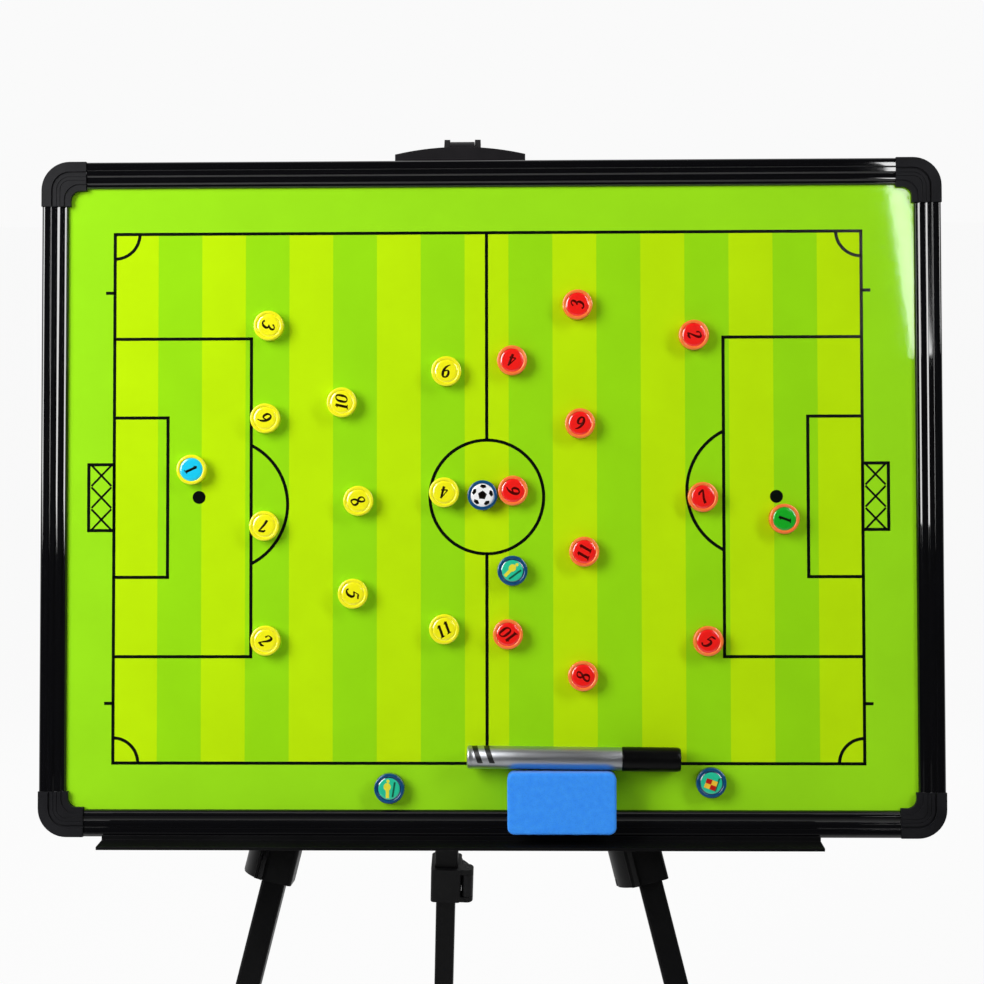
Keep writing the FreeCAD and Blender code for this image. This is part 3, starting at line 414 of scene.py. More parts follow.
def ink_dot(centre, radius):
    """A printed spot."""
    deselect()
    bpy.ops.mesh.primitive_cylinder_add(vertices=SPOT_SIDES, radius=radius * MM, depth=INK * 2 * MM)
    dot = bpy.context.object
    dot.location = (centre[0] * MM, centre[1] * MM, 0)
    ink_strips.append(dot)


def ink_frame(left, low, right, high):
    """Four printed lines round a rectangle."""
    corners = ((left, low), (right, low), (right, high), (left, high))
    for corner, following in zip(corners, corners[1:] + corners[:1]):
        ink_bar(corner, following)


def put_on_board(piece):
    """Stand a piece that was drawn flat on the board's face and settle its place into its mesh."""
    pick(piece)
    piece.matrix_world = board @ piece.matrix_world
    bpy.ops.object.transform_apply()


def joined(pieces, name):
    """Several meshes as one object."""
    deselect()
    for piece in pieces:
        piece.select_set(True)
    bpy.context.view_layer.objects.active = pieces[0]
    bpy.ops.object.transform_apply()
    bpy.ops.object.join()
    pieces[0].name = name
    return pieces[0]


ink_frame(PITCH_LEFT, -PITCH_HALF, PITCH_RIGHT, PITCH_HALF)
ink_bar((PITCH_MID, -PITCH_HALF), (PITCH_MID, -CENTRE_CIRCLE))
ink_bar((PITCH_MID, CENTRE_CIRCLE), (PITCH_MID, PITCH_HALF))
ink_arc((PITCH_MID, 0), CENTRE_CIRCLE, 0, 360)
for end, goal_line, inwards in (("left", PITCH_LEFT, 1), ("right", PITCH_RIGHT, -1)):
    for depth, half in ((BOX_DEPTH, BOX_HALF), (GOAL_BOX_DEPTH, GOAL_BOX_HALF)):
        inner = goal_line + inwards * depth
        ink_bar((goal_line, half), (inner, half))
        ink_bar((inner, half), (inner, -half))
        ink_bar((inner, -half), (goal_line, -half))
    ink_dot((goal_line + inwards * SPOT_IN, 0), SPOT)
    half_sweep = math.degrees(math.acos((BOX_DEPTH - ARC_CENTRE_IN) / ARC_RADIUS))
    middle = 0 if inwards > 0 else 180
    arc_centre = (goal_line + inwards * ARC_CENTRE_IN, ARC_UP[end])
    ink_arc(arc_centre, ARC_RADIUS, middle - half_sweep, 2 * half_sweep)
    for up in (1, -1):
        ink_arc((goal_line, up * PITCH_HALF), CORNER_ARC, CORNER_START[(inwards, up)], 90)
        ink_bar((goal_line, up * TICK_UP), (goal_line - inwards * TICK, up * TICK_UP))
    net = goal_line - inwards * GOAL_DEPTH
    ink_frame(min(net, goal_line), -GOAL_HALF, max(net, goal_line), GOAL_HALF)
    cell = GOAL_HALF * 2 / NET_CELLS
    for number in range(NET_CELLS):
        low = -GOAL_HALF + number * cell + CROSS_GAP
        high = low + cell - 2 * CROSS_GAP
        back, front = net + inwards * CROSS_IN, goal_line - inwards * CROSS_IN
        ink_bar((back, low), (front, high), NET_LINE)
        ink_bar((back, high), (front, low), NET_LINE)


def screen_ink():
    """Near-black ink under clear film: even tone with slight density drift."""
    material, place = new_surface("screen_ink_black")
    density = add(material, "ShaderNodeTexNoise", {"Vector": place, "Scale": 1 / (6 * MM), "Detail": 3.0})
    drift = add(material, "ShaderNodeMapRange", {
        "Value": density.outputs["Fac"], **NOISE_SPAN, "To Min": 0.94, "To Max": 1.06})
    tone = add(material, "ShaderNodeHueSaturation", {
        "Color": srgb("#040B06"), "Value": drift.outputs["Result"]})
    return show(material, add(material, "ShaderNodeBsdfPrincipled", {
        "Base Color": tone.outputs[0], "Roughness": 0.2, "IOR": 1.5}))


pitch_lines = joined(ink_strips, "pitch_lines")
put_on_board(pitch_lines)
wear(pitch_lines, screen_ink())
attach(pitch_lines, "board")

# Rails: black anodised aluminium, extruded with two grooves and a fine line along the face.
# Die lines run along each rail, and the groove flanks flash where they face a lamp.
RAIL_EDGE = 0.18
DRAWN_OUT = 40


def anodised_black(name, along_across):
    """Dyed anodic film on an extrusion: glossy black, drawn out in lines along the rail."""
    material, place = board_surface(name)
    stretch = (1, DRAWN_OUT, DRAWN_OUT) if along_across else (DRAWN_OUT, 1, DRAWN_OUT)
    drawn = add(material, "ShaderNodeMapping", {"Vector": place, "Scale": stretch})
    lines = add(material, "ShaderNodeTexNoise", {
        "Vector": drawn.outputs[0], "Scale": 1 / (40 * MM), "Detail": 4.0})
    tone = add(material, "ShaderNodeMix", {
        0: lines.outputs["Fac"], 6: srgb("#050506"), 7: srgb("#0C0C0F")}, data_type="RGBA")
    sheen = add(material, "ShaderNodeMapRange", {
        "Value": lines.outputs["Fac"], **NOISE_SPAN, "To Min": 0.02, "To Max": 0.05})
    relief = add(material, "ShaderNodeBump", {
        "Height": lines.outputs["Fac"], "Strength": 0.015, "Distance": 0.05 * MM})
    return show(material, add(material, "ShaderNodeBsdfPrincipled", {
        "Base Color": tone.outputs[2], "Roughness": sheen.outputs["Result"],
        "Normal": relief.outputs["Normal"], "IOR": 1.7}))


for node, along_across in (("long_rails", True), ("short_rails", False)):
    anodised = anodised_black(f"anodised_black_{node}", along_across)
    softened(node, f"{node}_extrusion", RAIL_EDGE, anodised)

# Corner caps: black ABS, moulded, pushed on the rail ends with tongues inside the rails.
# Each has a raised outer band, a groove and a lower inner step, all with soft edges.
CAP_EDGE = 0.45
cap_abs = moulded_abs("moulded_abs_cap", "#131315", "#1F1F22", 0.42)
softened("corner_caps", "corner_cap_mouldings", CAP_EDGE, cap_abs, steps=3)

# Round magnets: a moulded cup with a printed disc under a clear, round-shouldered lens.
# A ferrite slug sits in the underside and holds the cup to the steel face.
WINDOW = 7.7
LENS_FLAT, LENS_TOP, LENS_SHOULDER = 5.8, 6.5, 3.0
LENS_RING, LENS_STEPS = 3.0, 8
SLUG_RADIUS, SEAT = 6.0, 0.02
CUP_PROFILE = [(SLUG_RADIUS, SEAT), (9.4, SEAT), (9.8, 0.2), (10, 0.6), (10, 5.4), (9.9, 5.9),
               (9.6, 6.25), (9.2, 6.4), (8.3, 6.4), (8.0, 6.3), (7.8, 6.1), (WINDOW, 5.8)]
# Height in mm above the board where the cups' painted glow begins.
PAINTED_GLOW_FROM = 2
shoulder_turn = math.asin((WINDOW - LENS_FLAT) / LENS_SHOULDER)
LENS_PROFILE = [(LENS_FLAT + LENS_SHOULDER * math.sin(shoulder_turn * step / LENS_STEPS),
                 LENS_TOP - LENS_SHOULDER * (1 - math.cos(shoulder_turn * step / LENS_STEPS)))
                for step in range(LENS_STEPS, -1, -1)] + [(LENS_RING, LENS_TOP), (0, LENS_TOP)]
BORDER_LIFT, BORDER_STEPS = 0.03, 4
BORDER_PROFILE = [(radius, height + BORDER_LIFT) for radius, height in LENS_PROFILE[:BORDER_STEPS]]
SLUG_PROFILE = [(SLUG_RADIUS, SEAT), (0, SEAT)]
ROUND, ROUND_SMOOTH = 72, 50
DRY_SHINE = 0.1


def turned(name, profile):
    """A turned piece: its half section drawn point by point, then spun about Z."""
    deselect()
    bpy.ops.mesh.primitive_plane_add(size=MM)
    piece = bpy.context.object
    piece.name = name
    bpy.ops.object.mode_set(mode="EDIT")
    bpy.ops.mesh.select_mode(type="VERT")
    bpy.ops.mesh.select_all(action="SELECT")
    bpy.ops.mesh.merge(type="CENTER")
    bpy.ops.transform.translate(value=(profile[0][0] * MM, 0, profile[0][1] * MM))
    for (radius, height), (next_radius, next_height) in zip(profile, profile[1:]):
        bpy.ops.mesh.extrude_region_move(TRANSFORM_OT_translate={
            "value": ((next_radius - radius) * MM, 0, (next_height - height) * MM)})
    bpy.ops.mesh.select_all(action="SELECT")
    bpy.ops.mesh.spin(steps=ROUND, angle=math.tau, center=(0, 0, 0), axis=(0, 0, 1))
    bpy.ops.mesh.select_all(action="SELECT")
    bpy.ops.mesh.remove_doubles(threshold=WELD * MM)
    bpy.ops.mesh.normals_make_consistent(inside=False)
    bpy.ops.object.mode_set(mode="OBJECT")
    bpy.ops.object.shade_smooth_by_angle(angle=math.radians(ROUND_SMOOTH))
    return piece


def moulded_cup(name, colour, pale):
    """Glossy, slightly see-through styrene, with a painted glow: paler towards the rim, in swirled patches,
    standing in for light that comes through.
    """
    material, place = board_surface(name)
    swirl = add(material, "ShaderNodeTexNoise", {"Vector": place, "Scale": 1 / (7 * MM), "Detail": 2.0})
    height = add(material, "ShaderNodeSeparateXYZ", {0: place}).outputs["Z"]
    # Painted glow: with height above the board, from 2 mm up to the lens top, the colour is mixed towards
    # the paler tone, patchy with the swirl.
    edge = add(material, "ShaderNodeMapRange", {
        "Value": height, "From Min": PAINTED_GLOW_FROM * MM, "From Max": LENS_TOP * MM})
    painted_glow = add(material, "ShaderNodeMath", {0: edge.outputs["Result"], 1: swirl.outputs["Fac"]},
               operation="MULTIPLY")
    tone = add(material, "ShaderNodeMix", {0: painted_glow.outputs[0], 6: srgb(colour), 7: srgb(pale)},
               data_type="RGBA")
    return show(material, add(material, "ShaderNodeBsdfPrincipled", {
        "Base Color": tone.outputs[2], "Roughness": 0.22, "IOR": 1.59, "Coat Weight": 0.4,
        "Coat Roughness": 0.08, "Coat IOR": 1.6}))


def lens_print(name, colour, shine=1.0):
    """Printed paper under a clear lens: full colour, with the lens's hard shine on top."""
    material, place = new_surface(name)
    paper = add(material, "ShaderNodeTexNoise", {"Vector": place, "Scale": 1 / (1.2 * MM), "Detail": 4.0})
    drift = add(material, "ShaderNodeMapRange", {
        "Value": paper.outputs["Fac"], **NOISE_SPAN, "To Min": 0.97, "To Max": 1.03})
    tone = add(material, "ShaderNodeHueSaturation", {
        "Color": srgb(colour), "Value": drift.outputs["Result"]})
    return show(material, add(material, "ShaderNodeBsdfPrincipled", {
        "Base Color": tone.outputs[0], "Roughness": 0.3, "IOR": 1.5, "Specular IOR Level": 0.5 * shine,
        "Coat Weight": shine, "Coat Roughness": 0.05, "Coat IOR": 1.8}))


def ferrite():
    """Sintered ferrite: dark grey, dull and grainy."""
    material, place = new_surface("sintered_ferrite")
    grain = add(material, "ShaderNodeTexNoise", {"Vector": place, "Scale": 1 / (0.8 * MM), "Detail": 4.0})
    tone = add(material, "ShaderNodeMix", {
        0: grain.outputs["Fac"], 6: srgb("#222224"), 7: srgb("#3A3A3C")}, data_type="RGBA")
    return show(material, add(material, "ShaderNodeBsdfPrincipled", {
        "Base Color": tone.outputs[2], "Roughness": 0.6, "IOR": 2.0}))


cup_blank = turned("cup_blank", CUP_PROFILE)
lens_blank = turned("lens_blank", LENS_PROFILE)
border_blank = turned("border_blank", BORDER_PROFILE)
slug_blank = turned("slug_blank", SLUG_PROFILE)
slug_ferrite = ferrite()
print_black = lens_print("lens_print_black", "#0C0806", DRY_SHINE)
NUMBER_INK = {
    "yellow": lens_print("number_ink_black", "#1C1202", DRY_SHINE),
    "red": lens_print("number_ink_maroon", "#500402", DRY_SHINE),
}
# Each cup's second, paler colour is its painted glow near the rim.
CUPS = {
    "yellow": moulded_cup("moulded_cup_yellow", "#F8F004", "#FFFA24"),
    "red": moulded_cup("moulded_cup_red", "#FF5A1C", "#FF9A4A"),
    "blue": moulded_cup("moulded_cup_blue", "#012E5C", "#0A5A8E"),
}
LENSES = {
    name: lens_print(f"lens_print_{name}", colour) for name, colour in (
        ("yellow", "#FFFA06"), ("red", "#FF160E"), ("cyan", "#08D0F8"), ("green", "#08B41E"),
        ("white", "#FFFFFF"), ("navy", "#053664"), ("teal", "#24CC9E"), ("figure", "#F0E83A"),
        ("flag_yellow", "#FFCE38"), ("flag_red", "#C41208"), ("pole", "#0A5C44"))}

# Magnet numbers: dark italic numerals printed on the discs, each drawn as a few pen strokes.
# A stroke's points are across, up and half its width; a magnet is turned as it was put down.
NUMERAL, DIGIT_MIDDLE = 8.0, 0.25
SLANT = 0.22
BOLDNESS = 1.45
THINNED = 0.06
FLAT_INK, LAYER_STEP, DROP = 0.03, 0.25, 1.0
DISC_CUTS = 5
STROKES = {
    "0": [[(0, .5, .08), (.02, .86, .055), (.25, 1, .025), (.48, .86, .055), (.5, .5, .08),
           (.48, .14, .055), (.25, 0, .025), (.02, .14, .055)]],
    "1": [[(.25, 1, .075), (.25, .5, .075), (.25, .0, .075)],
          [(.06, .84, .025), (.17, .91, .03), (.25, 1, .05)],
          [(.06, .02, .028), (.25, .02, .03), (.44, .02, .028)]],
    "2": [[(.04, .74, .055), (.05, 1, .03), (.28, 1.04, .035), (.52, .96, .08), (.46, .66, .075),
           (.2, .34, .045), (.0, .05, .03)],
          [(.0, .05, .045), (.15, .1, .06), (.34, .0, .075), (.52, .12, .03)]],
    "3": [[(.03, .84, .045), (.12, 1.03, .03), (.38, 1.03, .05), (.47, .8, .075), (.34, .58, .05),
           (.17, .54, .03)],
          [(.17, .54, .03), (.42, .56, .05), (.53, .3, .085), (.38, .0, .055), (.12, -.03, .035),
           (.0, .14, .06)]],
    "4": [[(.37, 1, .03), (.18, .65, .032), (.0, .3, .035)],
          [(.0, .3, .042), (.26, .3, .042), (.54, .3, .042)],
          [(.37, 1, .055), (.37, .5, .07), (.37, .0, .075)]],
    "5": [[(.5, 1, .04), (.3, .96, .06), (.12, .98, .05)],
          [(.12, .98, .03), (.09, .76, .03), (.06, .54, .03)],
          [(.06, .54, .03), (.25, .68, .045), (.52, .54, .08), (.48, .14, .08), (.28, -.03, .05),
           (.06, -.03, .035), (.0, .12, .06)]],
    "6": [[(.5, 1, .022), (.26, .94, .05), (.02, .6, .08), (.0, .16, .08), (.2, -.04, .04), (.45, .06, .065),
           (.5, .4, .075), (.32, .62, .042), (.08, .46, .03)]],
    "7": [[(.02, .82, .03), (.05, .96, .07), (.28, .96, .06), (.52, .98, .05)],
          [(.52, .98, .04), (.34, .62, .06), (.2, .3, .07), (.16, .0, .08)]],
    "8": [[(.25, .52, .045), (.05, .68, .065), (.05, .98, .045), (.27, 1.04, .028), (.48, .96, .055),
           (.44, .68, .055), (.25, .52, .07), (.0, .34, .055), (.0, .03, .06), (.25, -.04, .028),
           (.5, .03, .06), (.48, .34, .075)]],
}
STROKES["9"] = [[(.5 - across, 1 - up, half) for across, up, half in STROKES["6"][0]]]
CLOSED = "08"
ADVANCE = 0.62


def numeral(text):
    """Flat ink strokes of a number, upright and centred on the origin."""
    deselect()
    bpy.ops.curve.primitive_nurbs_curve_add()
    sign = bpy.context.object
    pen = sign.data
    pen.splines.clear()
    pen.dimensions = "3D"
    pen.bevel_depth = NUMERAL * BOLDNESS * MM
    pen.bevel_resolution = 1
    pen.use_fill_caps = True
    middle = DIGIT_MIDDLE + ADVANCE * (len(text) - 1) / 2
    for index, digit in enumerate(text):
        for stroke in STROKES[digit]:
            line = pen.splines.new("NURBS")
            line.points.add(len(stroke) - 1)
            for point, (across, up, half) in zip(line.points, stroke):
                drawn = across + index * ADVANCE - middle + SLANT * (up - 0.5)
                point.co = (drawn * NUMERAL * MM, (up - 0.5) * NUMERAL * MM, 0, 1)
                point.radius = half
            line.order_u = 3
            line.use_cyclic_u = digit in CLOSED
            line.use_endpoint_u = digit not in CLOSED
            line.resolution_u = 5
    bpy.ops.object.convert(target="MESH")
    sign = bpy.context.object
    sign.scale = (1, 1, THINNED)
    return sign


def disc_shape(corners, size, at, turn=0):
    """A flat printed shape: a regular polygon of a given width and height, turned and set on the disc."""
    deselect()
    bpy.ops.mesh.primitive_circle_add(vertices=corners, radius=0.5, fill_type="TRIFAN")
    shape = bpy.context.object
    bpy.ops.object.mode_set(mode="EDIT")
    if corners == 4:
        bpy.ops.transform.rotate(value=math.pi / 4, orient_axis="Z")
        bpy.ops.transform.resize(value=(math.sqrt(2), math.sqrt(2), 1))
    bpy.ops.mesh.subdivide(number_cuts=DISC_CUTS)
    bpy.ops.object.mode_set(mode="OBJECT")
    shape.scale = (size[0] * MM, size[1] * MM, 1)
    shape.rotation_euler = (0, 0, math.radians(turn))
    shape.location = (at[0] * MM, at[1] * MM, 0)
    bpy.ops.object.transform_apply()
    return shape


def laid_on_lens(sign, layer):
    """Drop a flat sign on the lens, so that it follows the round shoulder; later prints lie on top."""
    sign.location.z += DROP * MM
    pick(sign)
    bpy.ops.object.transform_apply()
    bpy.ops.object.modifier_add(type="SHRINKWRAP")
    wrap = sign.modifiers[-1]
    wrap.target = lens_blank
    wrap.wrap_method = "PROJECT"
    wrap.use_project_z = True
    wrap.use_negative_direction = True
    wrap.offset = FLAT_INK * (1 + layer * LAYER_STEP) * MM
    bpy.ops.object.modifier_apply(modifier=wrap.name)


def copied(blank, material):
    """A copy of a blank with its own mesh and finish."""
    pick(blank)
    bpy.ops.object.duplicate()
    wear(bpy.context.object, material)
    return bpy.context.object


def magnet(node, turn, cup, lens, signs, border=None):
    """One magnet: cup, lens, slug and its printed signs, joined and set where its node lies.

    A number, one sign, fits the lens's flat; pictures are wider and follow its shoulder.
    """
    for layer, (sign, material) in enumerate(signs):
        wear(sign, material)
        pick(sign)
        bpy.ops.object.transform_apply()
        sign.rotation_euler = (0, 0, math.radians(turn))
        sign.location = (0, 0, LENS_TOP * MM)
        if len(signs) > 1:
            laid_on_lens(sign, layer)
    parts = [copied(cup_blank, CUPS[cup]), copied(lens_blank, LENSES[lens]),
             copied(slug_blank, slug_ferrite)]
    if border:
        parts.append(copied(border_blank, LENSES[border]))
    piece = joined(parts + [sign for sign, _ in signs], f"{node}_disc")
    low, high = (Vector(corner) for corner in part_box(node))
    middle = board.inverted() @ ((low + high) / 2)
    piece.location = (middle.x, middle.y, 0)
    put_on_board(piece)
    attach(piece, node)
    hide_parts(node)


PLAYER_TURNS = {
    "yellow": {"2": -38, "3": -102, "4": 177, "5": -98, "6": 132, "7": 172, "8": -56, "9": 180,
               "10": 90, "11": 32},
    "red": {"2": -70, "3": 86, "4": 170, "5": -38, "6": 95, "7": 40, "8": 80, "9": -6,
            "10": 140, "11": 72},
}
for team, turns in PLAYER_TURNS.items():
    for number, turn in turns.items():
        signs = [(numeral(number), NUMBER_INK[team])]
        magnet(f"magnet_{team}_{number}", turn, team, team, signs)
for team, lens, turn in (("yellow", "cyan", -53), ("red", "green", 83)):
    magnet(f"magnet_{team}_keeper", turn, team, lens, [(numeral("1"), print_black)])

# Ball, officials and flag: the same cups in blue, with plain printed pictures.
# The ball has a black pentagon and five patches; the officials are simple yellow figures.
BALL_PATCH, BALL_RIM_PATCH, BALL_RIM_OUT = (6.2, 6.2), (4.6, 2.8), 5.9
OFFICIAL = (
    ("figure", 24, (2.1, 2.2), (-0.7, 5.0), 0),
    ("figure", 24, (4.7, 5.2), (-1.3, 1.3), 0),
    ("figure", 4, (2.2, 5.4), (-1.1, -3.4), 0),
    ("pole", 4, (1.2, 9.8), (3.0, -0.5), -8.8),
)
FLAG_POLE, FLAG_POLE_AT = (1.1, 8.8), (3.9, 0.2)
FLAG_CELL, FLAG_AT = (3.8, 3.2), (-0.1, -1.0)
ball_patches = [disc_shape(5, BALL_PATCH, (0, 0))]
for turn in range(0, 360, 72):
    angle = math.radians(turn)
    at = (-BALL_RIM_OUT * math.sin(angle), BALL_RIM_OUT * math.cos(angle))
    ball_patches.append(disc_shape(5, BALL_RIM_PATCH, at, turn + 180))
magnet("magnet_ball", -6, "blue", "white", [(patch, print_black) for patch in ball_patches])
for node, turn in (("magnet_referee", -45), ("magnet_assistant", 0)):
    signs = [(disc_shape(corners, size, at, lean), LENSES[ink]) for ink, corners, size, at, lean in OFFICIAL]
    magnet(node, turn, "blue", "teal", signs, "navy")
flag = [(disc_shape(4, FLAG_POLE, FLAG_POLE_AT), LENSES["pole"])]
for column in (-1, 1):
    for row in (-1, 1):
        colour = "flag_yellow" if column == row else "flag_red"
        at = (column * FLAG_CELL[0] / 2 + FLAG_AT[0], row * FLAG_CELL[1] / 2 + FLAG_AT[1])
        flag.append((disc_shape(4, FLAG_CELL, at), LENSES[colour]))
magnet("magnet_flag", -20, "blue", "teal", flag, "navy")
deselect()
for blank in (cup_blank, lens_blank, border_blank, slug_blank):
    bpy.data.objects.remove(blank)

# Eraser: a block of blue closed-cell foam on a grey felt pad, die cut with rounded corners.
# The cut foam is matt, mottled and finely pored; the felt is grey with tangled fibres.
ERASER_SIZE = (71.0, 40.2, 17.0)
ERASER_AT = (47.0, -200.3)
ERASER_BACK = 3.3
ERASER_CORNER, ERASER_EDGE = 4.7, 1.4
FOAM_GRID, FOAM_WANDER = 0.8, 0.22
FELT_MARGIN, FELT_GAP = 3.0, 0.1
FELT_LOW = -206.7
FELT_CORNER, FELT_EDGE = 1.5, 0.4
FELT_GRID, FELT_WANDER = 0.6, 0.1
CORNER_STEPS, EDGE_STEPS, EASE_ABOVE = 8, 4, 50
SMOOTHINGS, WANDER_ACROSS = 4, 6


def cut_foam():
    """Closed-cell foam: matt blue and mottled, with painted shade darkening the pores of about 1 mm that
    were cut open.
    """
    material, place = board_surface("cut_foam_blue")
    pores = add(material, "ShaderNodeTexVoronoi", {"Vector": place, "Scale": 1 / (1.1 * MM)})
    mottle = add(material, "ShaderNodeTexNoise", {"Vector": place, "Scale": 1 / (3.5 * MM), "Detail": 6.0})
    # Painted shade: the blue is darkened towards the middle of each cut-open pore, where the hollow would be
    # in shade.
    painted_pore_shade = add(material, "ShaderNodeMapRange", {
        "Value": pores.outputs["Distance"], "From Min": 0.0, "From Max": 0.5, "To Min": 0.9, "To Max": 1.02})
    blue = add(material, "ShaderNodeMix", {
        0: mottle.outputs["Fac"], 6: srgb("#2484F8"), 7: srgb("#3EA0FF")}, data_type="RGBA")
    tone = add(material, "ShaderNodeHueSaturation", {
        "Color": blue.outputs[2], "Value": painted_pore_shade.outputs["Result"]})
    relief = add(material, "ShaderNodeBump", {
        "Height": pores.outputs["Distance"], "Strength": 0.35, "Distance": 0.2 * MM})
    return show(material, add(material, "ShaderNodeBsdfPrincipled", {
        "Base Color": tone.outputs[0], "Roughness": 0.8, "Normal": relief.outputs["Normal"], "IOR": 1.45,
        "Specular IOR Level": 0.3, "Sheen Weight": 0.15}))


def pressed_felt():
    """Wool felt: grey, soft, with tangled fibres and a light sheen."""
    material, place = new_surface("pressed_felt_grey")
    fibre = add(material, "ShaderNodeTexNoise", {
        "Vector": place, "Scale": 1 / MM, "Detail": 6.0, "Distortion": 1.2})
    tone = add(material, "ShaderNodeMix", {
        0: fibre.outputs["Fac"], 6: srgb("#4C4C4E"), 7: srgb("#7C7C7E")}, data_type="RGBA")
    relief = add(material, "ShaderNodeBump", {
        "Height": fibre.outputs["Fac"], "Strength": 0.5, "Distance": 0.3 * MM})
    return show(material, add(material, "ShaderNodeBsdfPrincipled", {
        "Base Color": tone.outputs[2], "Roughness": 0.95, "Normal": relief.outputs["Normal"],
        "Sheen Weight": 0.4}))


def cut_block(name, size, middle, corner, edge):
    """A block drawn on the board: upright corners rounded, then the face edges eased."""
    deselect()
    bpy.ops.mesh.primitive_cube_add(size=1)
    block = bpy.context.object
    block.name = name
    block.scale = [side * MM for side in size]
    block.location = [place * MM for place in middle]
    bpy.ops.object.transform_apply()
    bpy.ops.object.mode_set(mode="EDIT")
    bpy.ops.mesh.select_mode(type="EDGE")
    bpy.ops.mesh.select_all(action="DESELECT")
    bpy.ops.object.mode_set(mode="OBJECT")
    for cut in block.data.edges:
        low, high = (block.data.vertices[at].co for at in cut.vertices)
        cut.select = abs(low.z - high.z) > size[2] * MM / 2
    bpy.ops.object.mode_set(mode="EDIT")
    bpy.ops.mesh.bevel(offset=corner * MM, segments=CORNER_STEPS, affect="EDGES")
    bpy.ops.object.mode_set(mode="OBJECT")
    bpy.ops.object.modifier_add(type="BEVEL")
    easing = block.modifiers[-1]
    easing.width = edge * MM
    easing.segments = EDGE_STEPS
    easing.limit_method = "ANGLE"
    easing.angle_limit = math.radians(EASE_ABOVE)
    bpy.ops.object.modifier_apply(modifier=easing.name)
    return block


def roughened(block, grid_size, depth):
    """Remesh a block evenly and let its skin wander a little, as cut foam and felt do."""
    bpy.ops.object.modifier_add(type="REMESH")
    grid = block.modifiers[-1]
    grid.mode = "VOXEL"
    grid.voxel_size = grid_size * MM
    bpy.ops.object.modifier_apply(modifier=grid.name)
    bpy.ops.object.modifier_add(type="SMOOTH")
    block.modifiers[-1].iterations = SMOOTHINGS
    bpy.ops.object.modifier_apply(modifier=block.modifiers[-1].name)
    wander = bpy.data.textures.new(f"{block.name}_wander", "CLOUDS")
    wander.noise_scale = WANDER_ACROSS * MM
    bpy.ops.object.modifier_add(type="DISPLACE")
    skin = block.modifiers[-1]
    skin.texture = wander
    skin.strength = depth * MM
    skin.mid_level = 0.5
    bpy.ops.object.modifier_apply(modifier=skin.name)
    bpy.ops.object.shade_smooth()


foam = cut_block("foam_block", ERASER_SIZE, (*ERASER_AT, ERASER_BACK + ERASER_SIZE[2] / 2),
                 ERASER_CORNER, ERASER_EDGE)
roughened(foam, FOAM_GRID, FOAM_WANDER)
put_on_board(foam)
wear(foam, cut_foam())
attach(foam, "eraser")
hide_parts("eraser_foam")

felt_high = ERASER_AT[1] + ERASER_SIZE[1] / 2 - FELT_MARGIN
felt_size = (ERASER_SIZE[0] - 2 * FELT_MARGIN, felt_high - FELT_LOW, ERASER_BACK - FELT_GAP)
felt = cut_block("felt_pad", felt_size, (ERASER_AT[0], (felt_high + FELT_LOW) / 2, ERASER_BACK / 2),
                 FELT_CORNER, FELT_EDGE)
roughened(felt, FELT_GRID, FELT_WANDER)
put_on_board(felt)
wear(felt, pressed_felt())
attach(felt, "eraser")
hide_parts("eraser_felt")

# Marker pen: a drawn aluminium barrel with a moulded neck, a felt nib and a push-on black cap.
# It lies along the eraser's top edge; two slanting bands are printed round the barrel's end.
PEN_START = (-15.0, -171.2, 8.3)
PEN_TILT = 0.7
BAND_START, BAND_PERIOD, BAND_WIDTH, BAND_LEAN, BAND_LOW = 5.9, 7.8, 3.6, 0.375, -3.2
BARREL_PROFILE = [(0, 0.4), (4.4, 0.4), (4.8, 0), (6.2, 0), (6.9, 0.25), (7.35, 0.8), (7.5, 1.6), (7.5, 3.2),
                  (7.32, 3.5), (7.32, 3.9), (7.5, 4.2), (7.5, 100.9), (7.35, 101.4), (6.4, 101.5),
                  (6.4, 106), (6.1, 106.4), (6.1, 107.2), (6.4, 107.6), (6.4, 119.1), (5.8, 120.5),
                  (3.4, 124.6), (2.9, 125.5), (0, 125.5)]
CAP_PROFILE = [(6.7, 101.7), (7.7, 101.7), (7.95, 102), (8, 102.6), (8, 137), (7.9, 138), (7.65, 139),
               (7.4, 139.7), (7.1, 140), (5.6, 140), (5.3, 139.6), (0, 139.6)]
CAP_INSIDE = [(0, 138.2), (6.7, 138.2), (6.7, 101.7)]


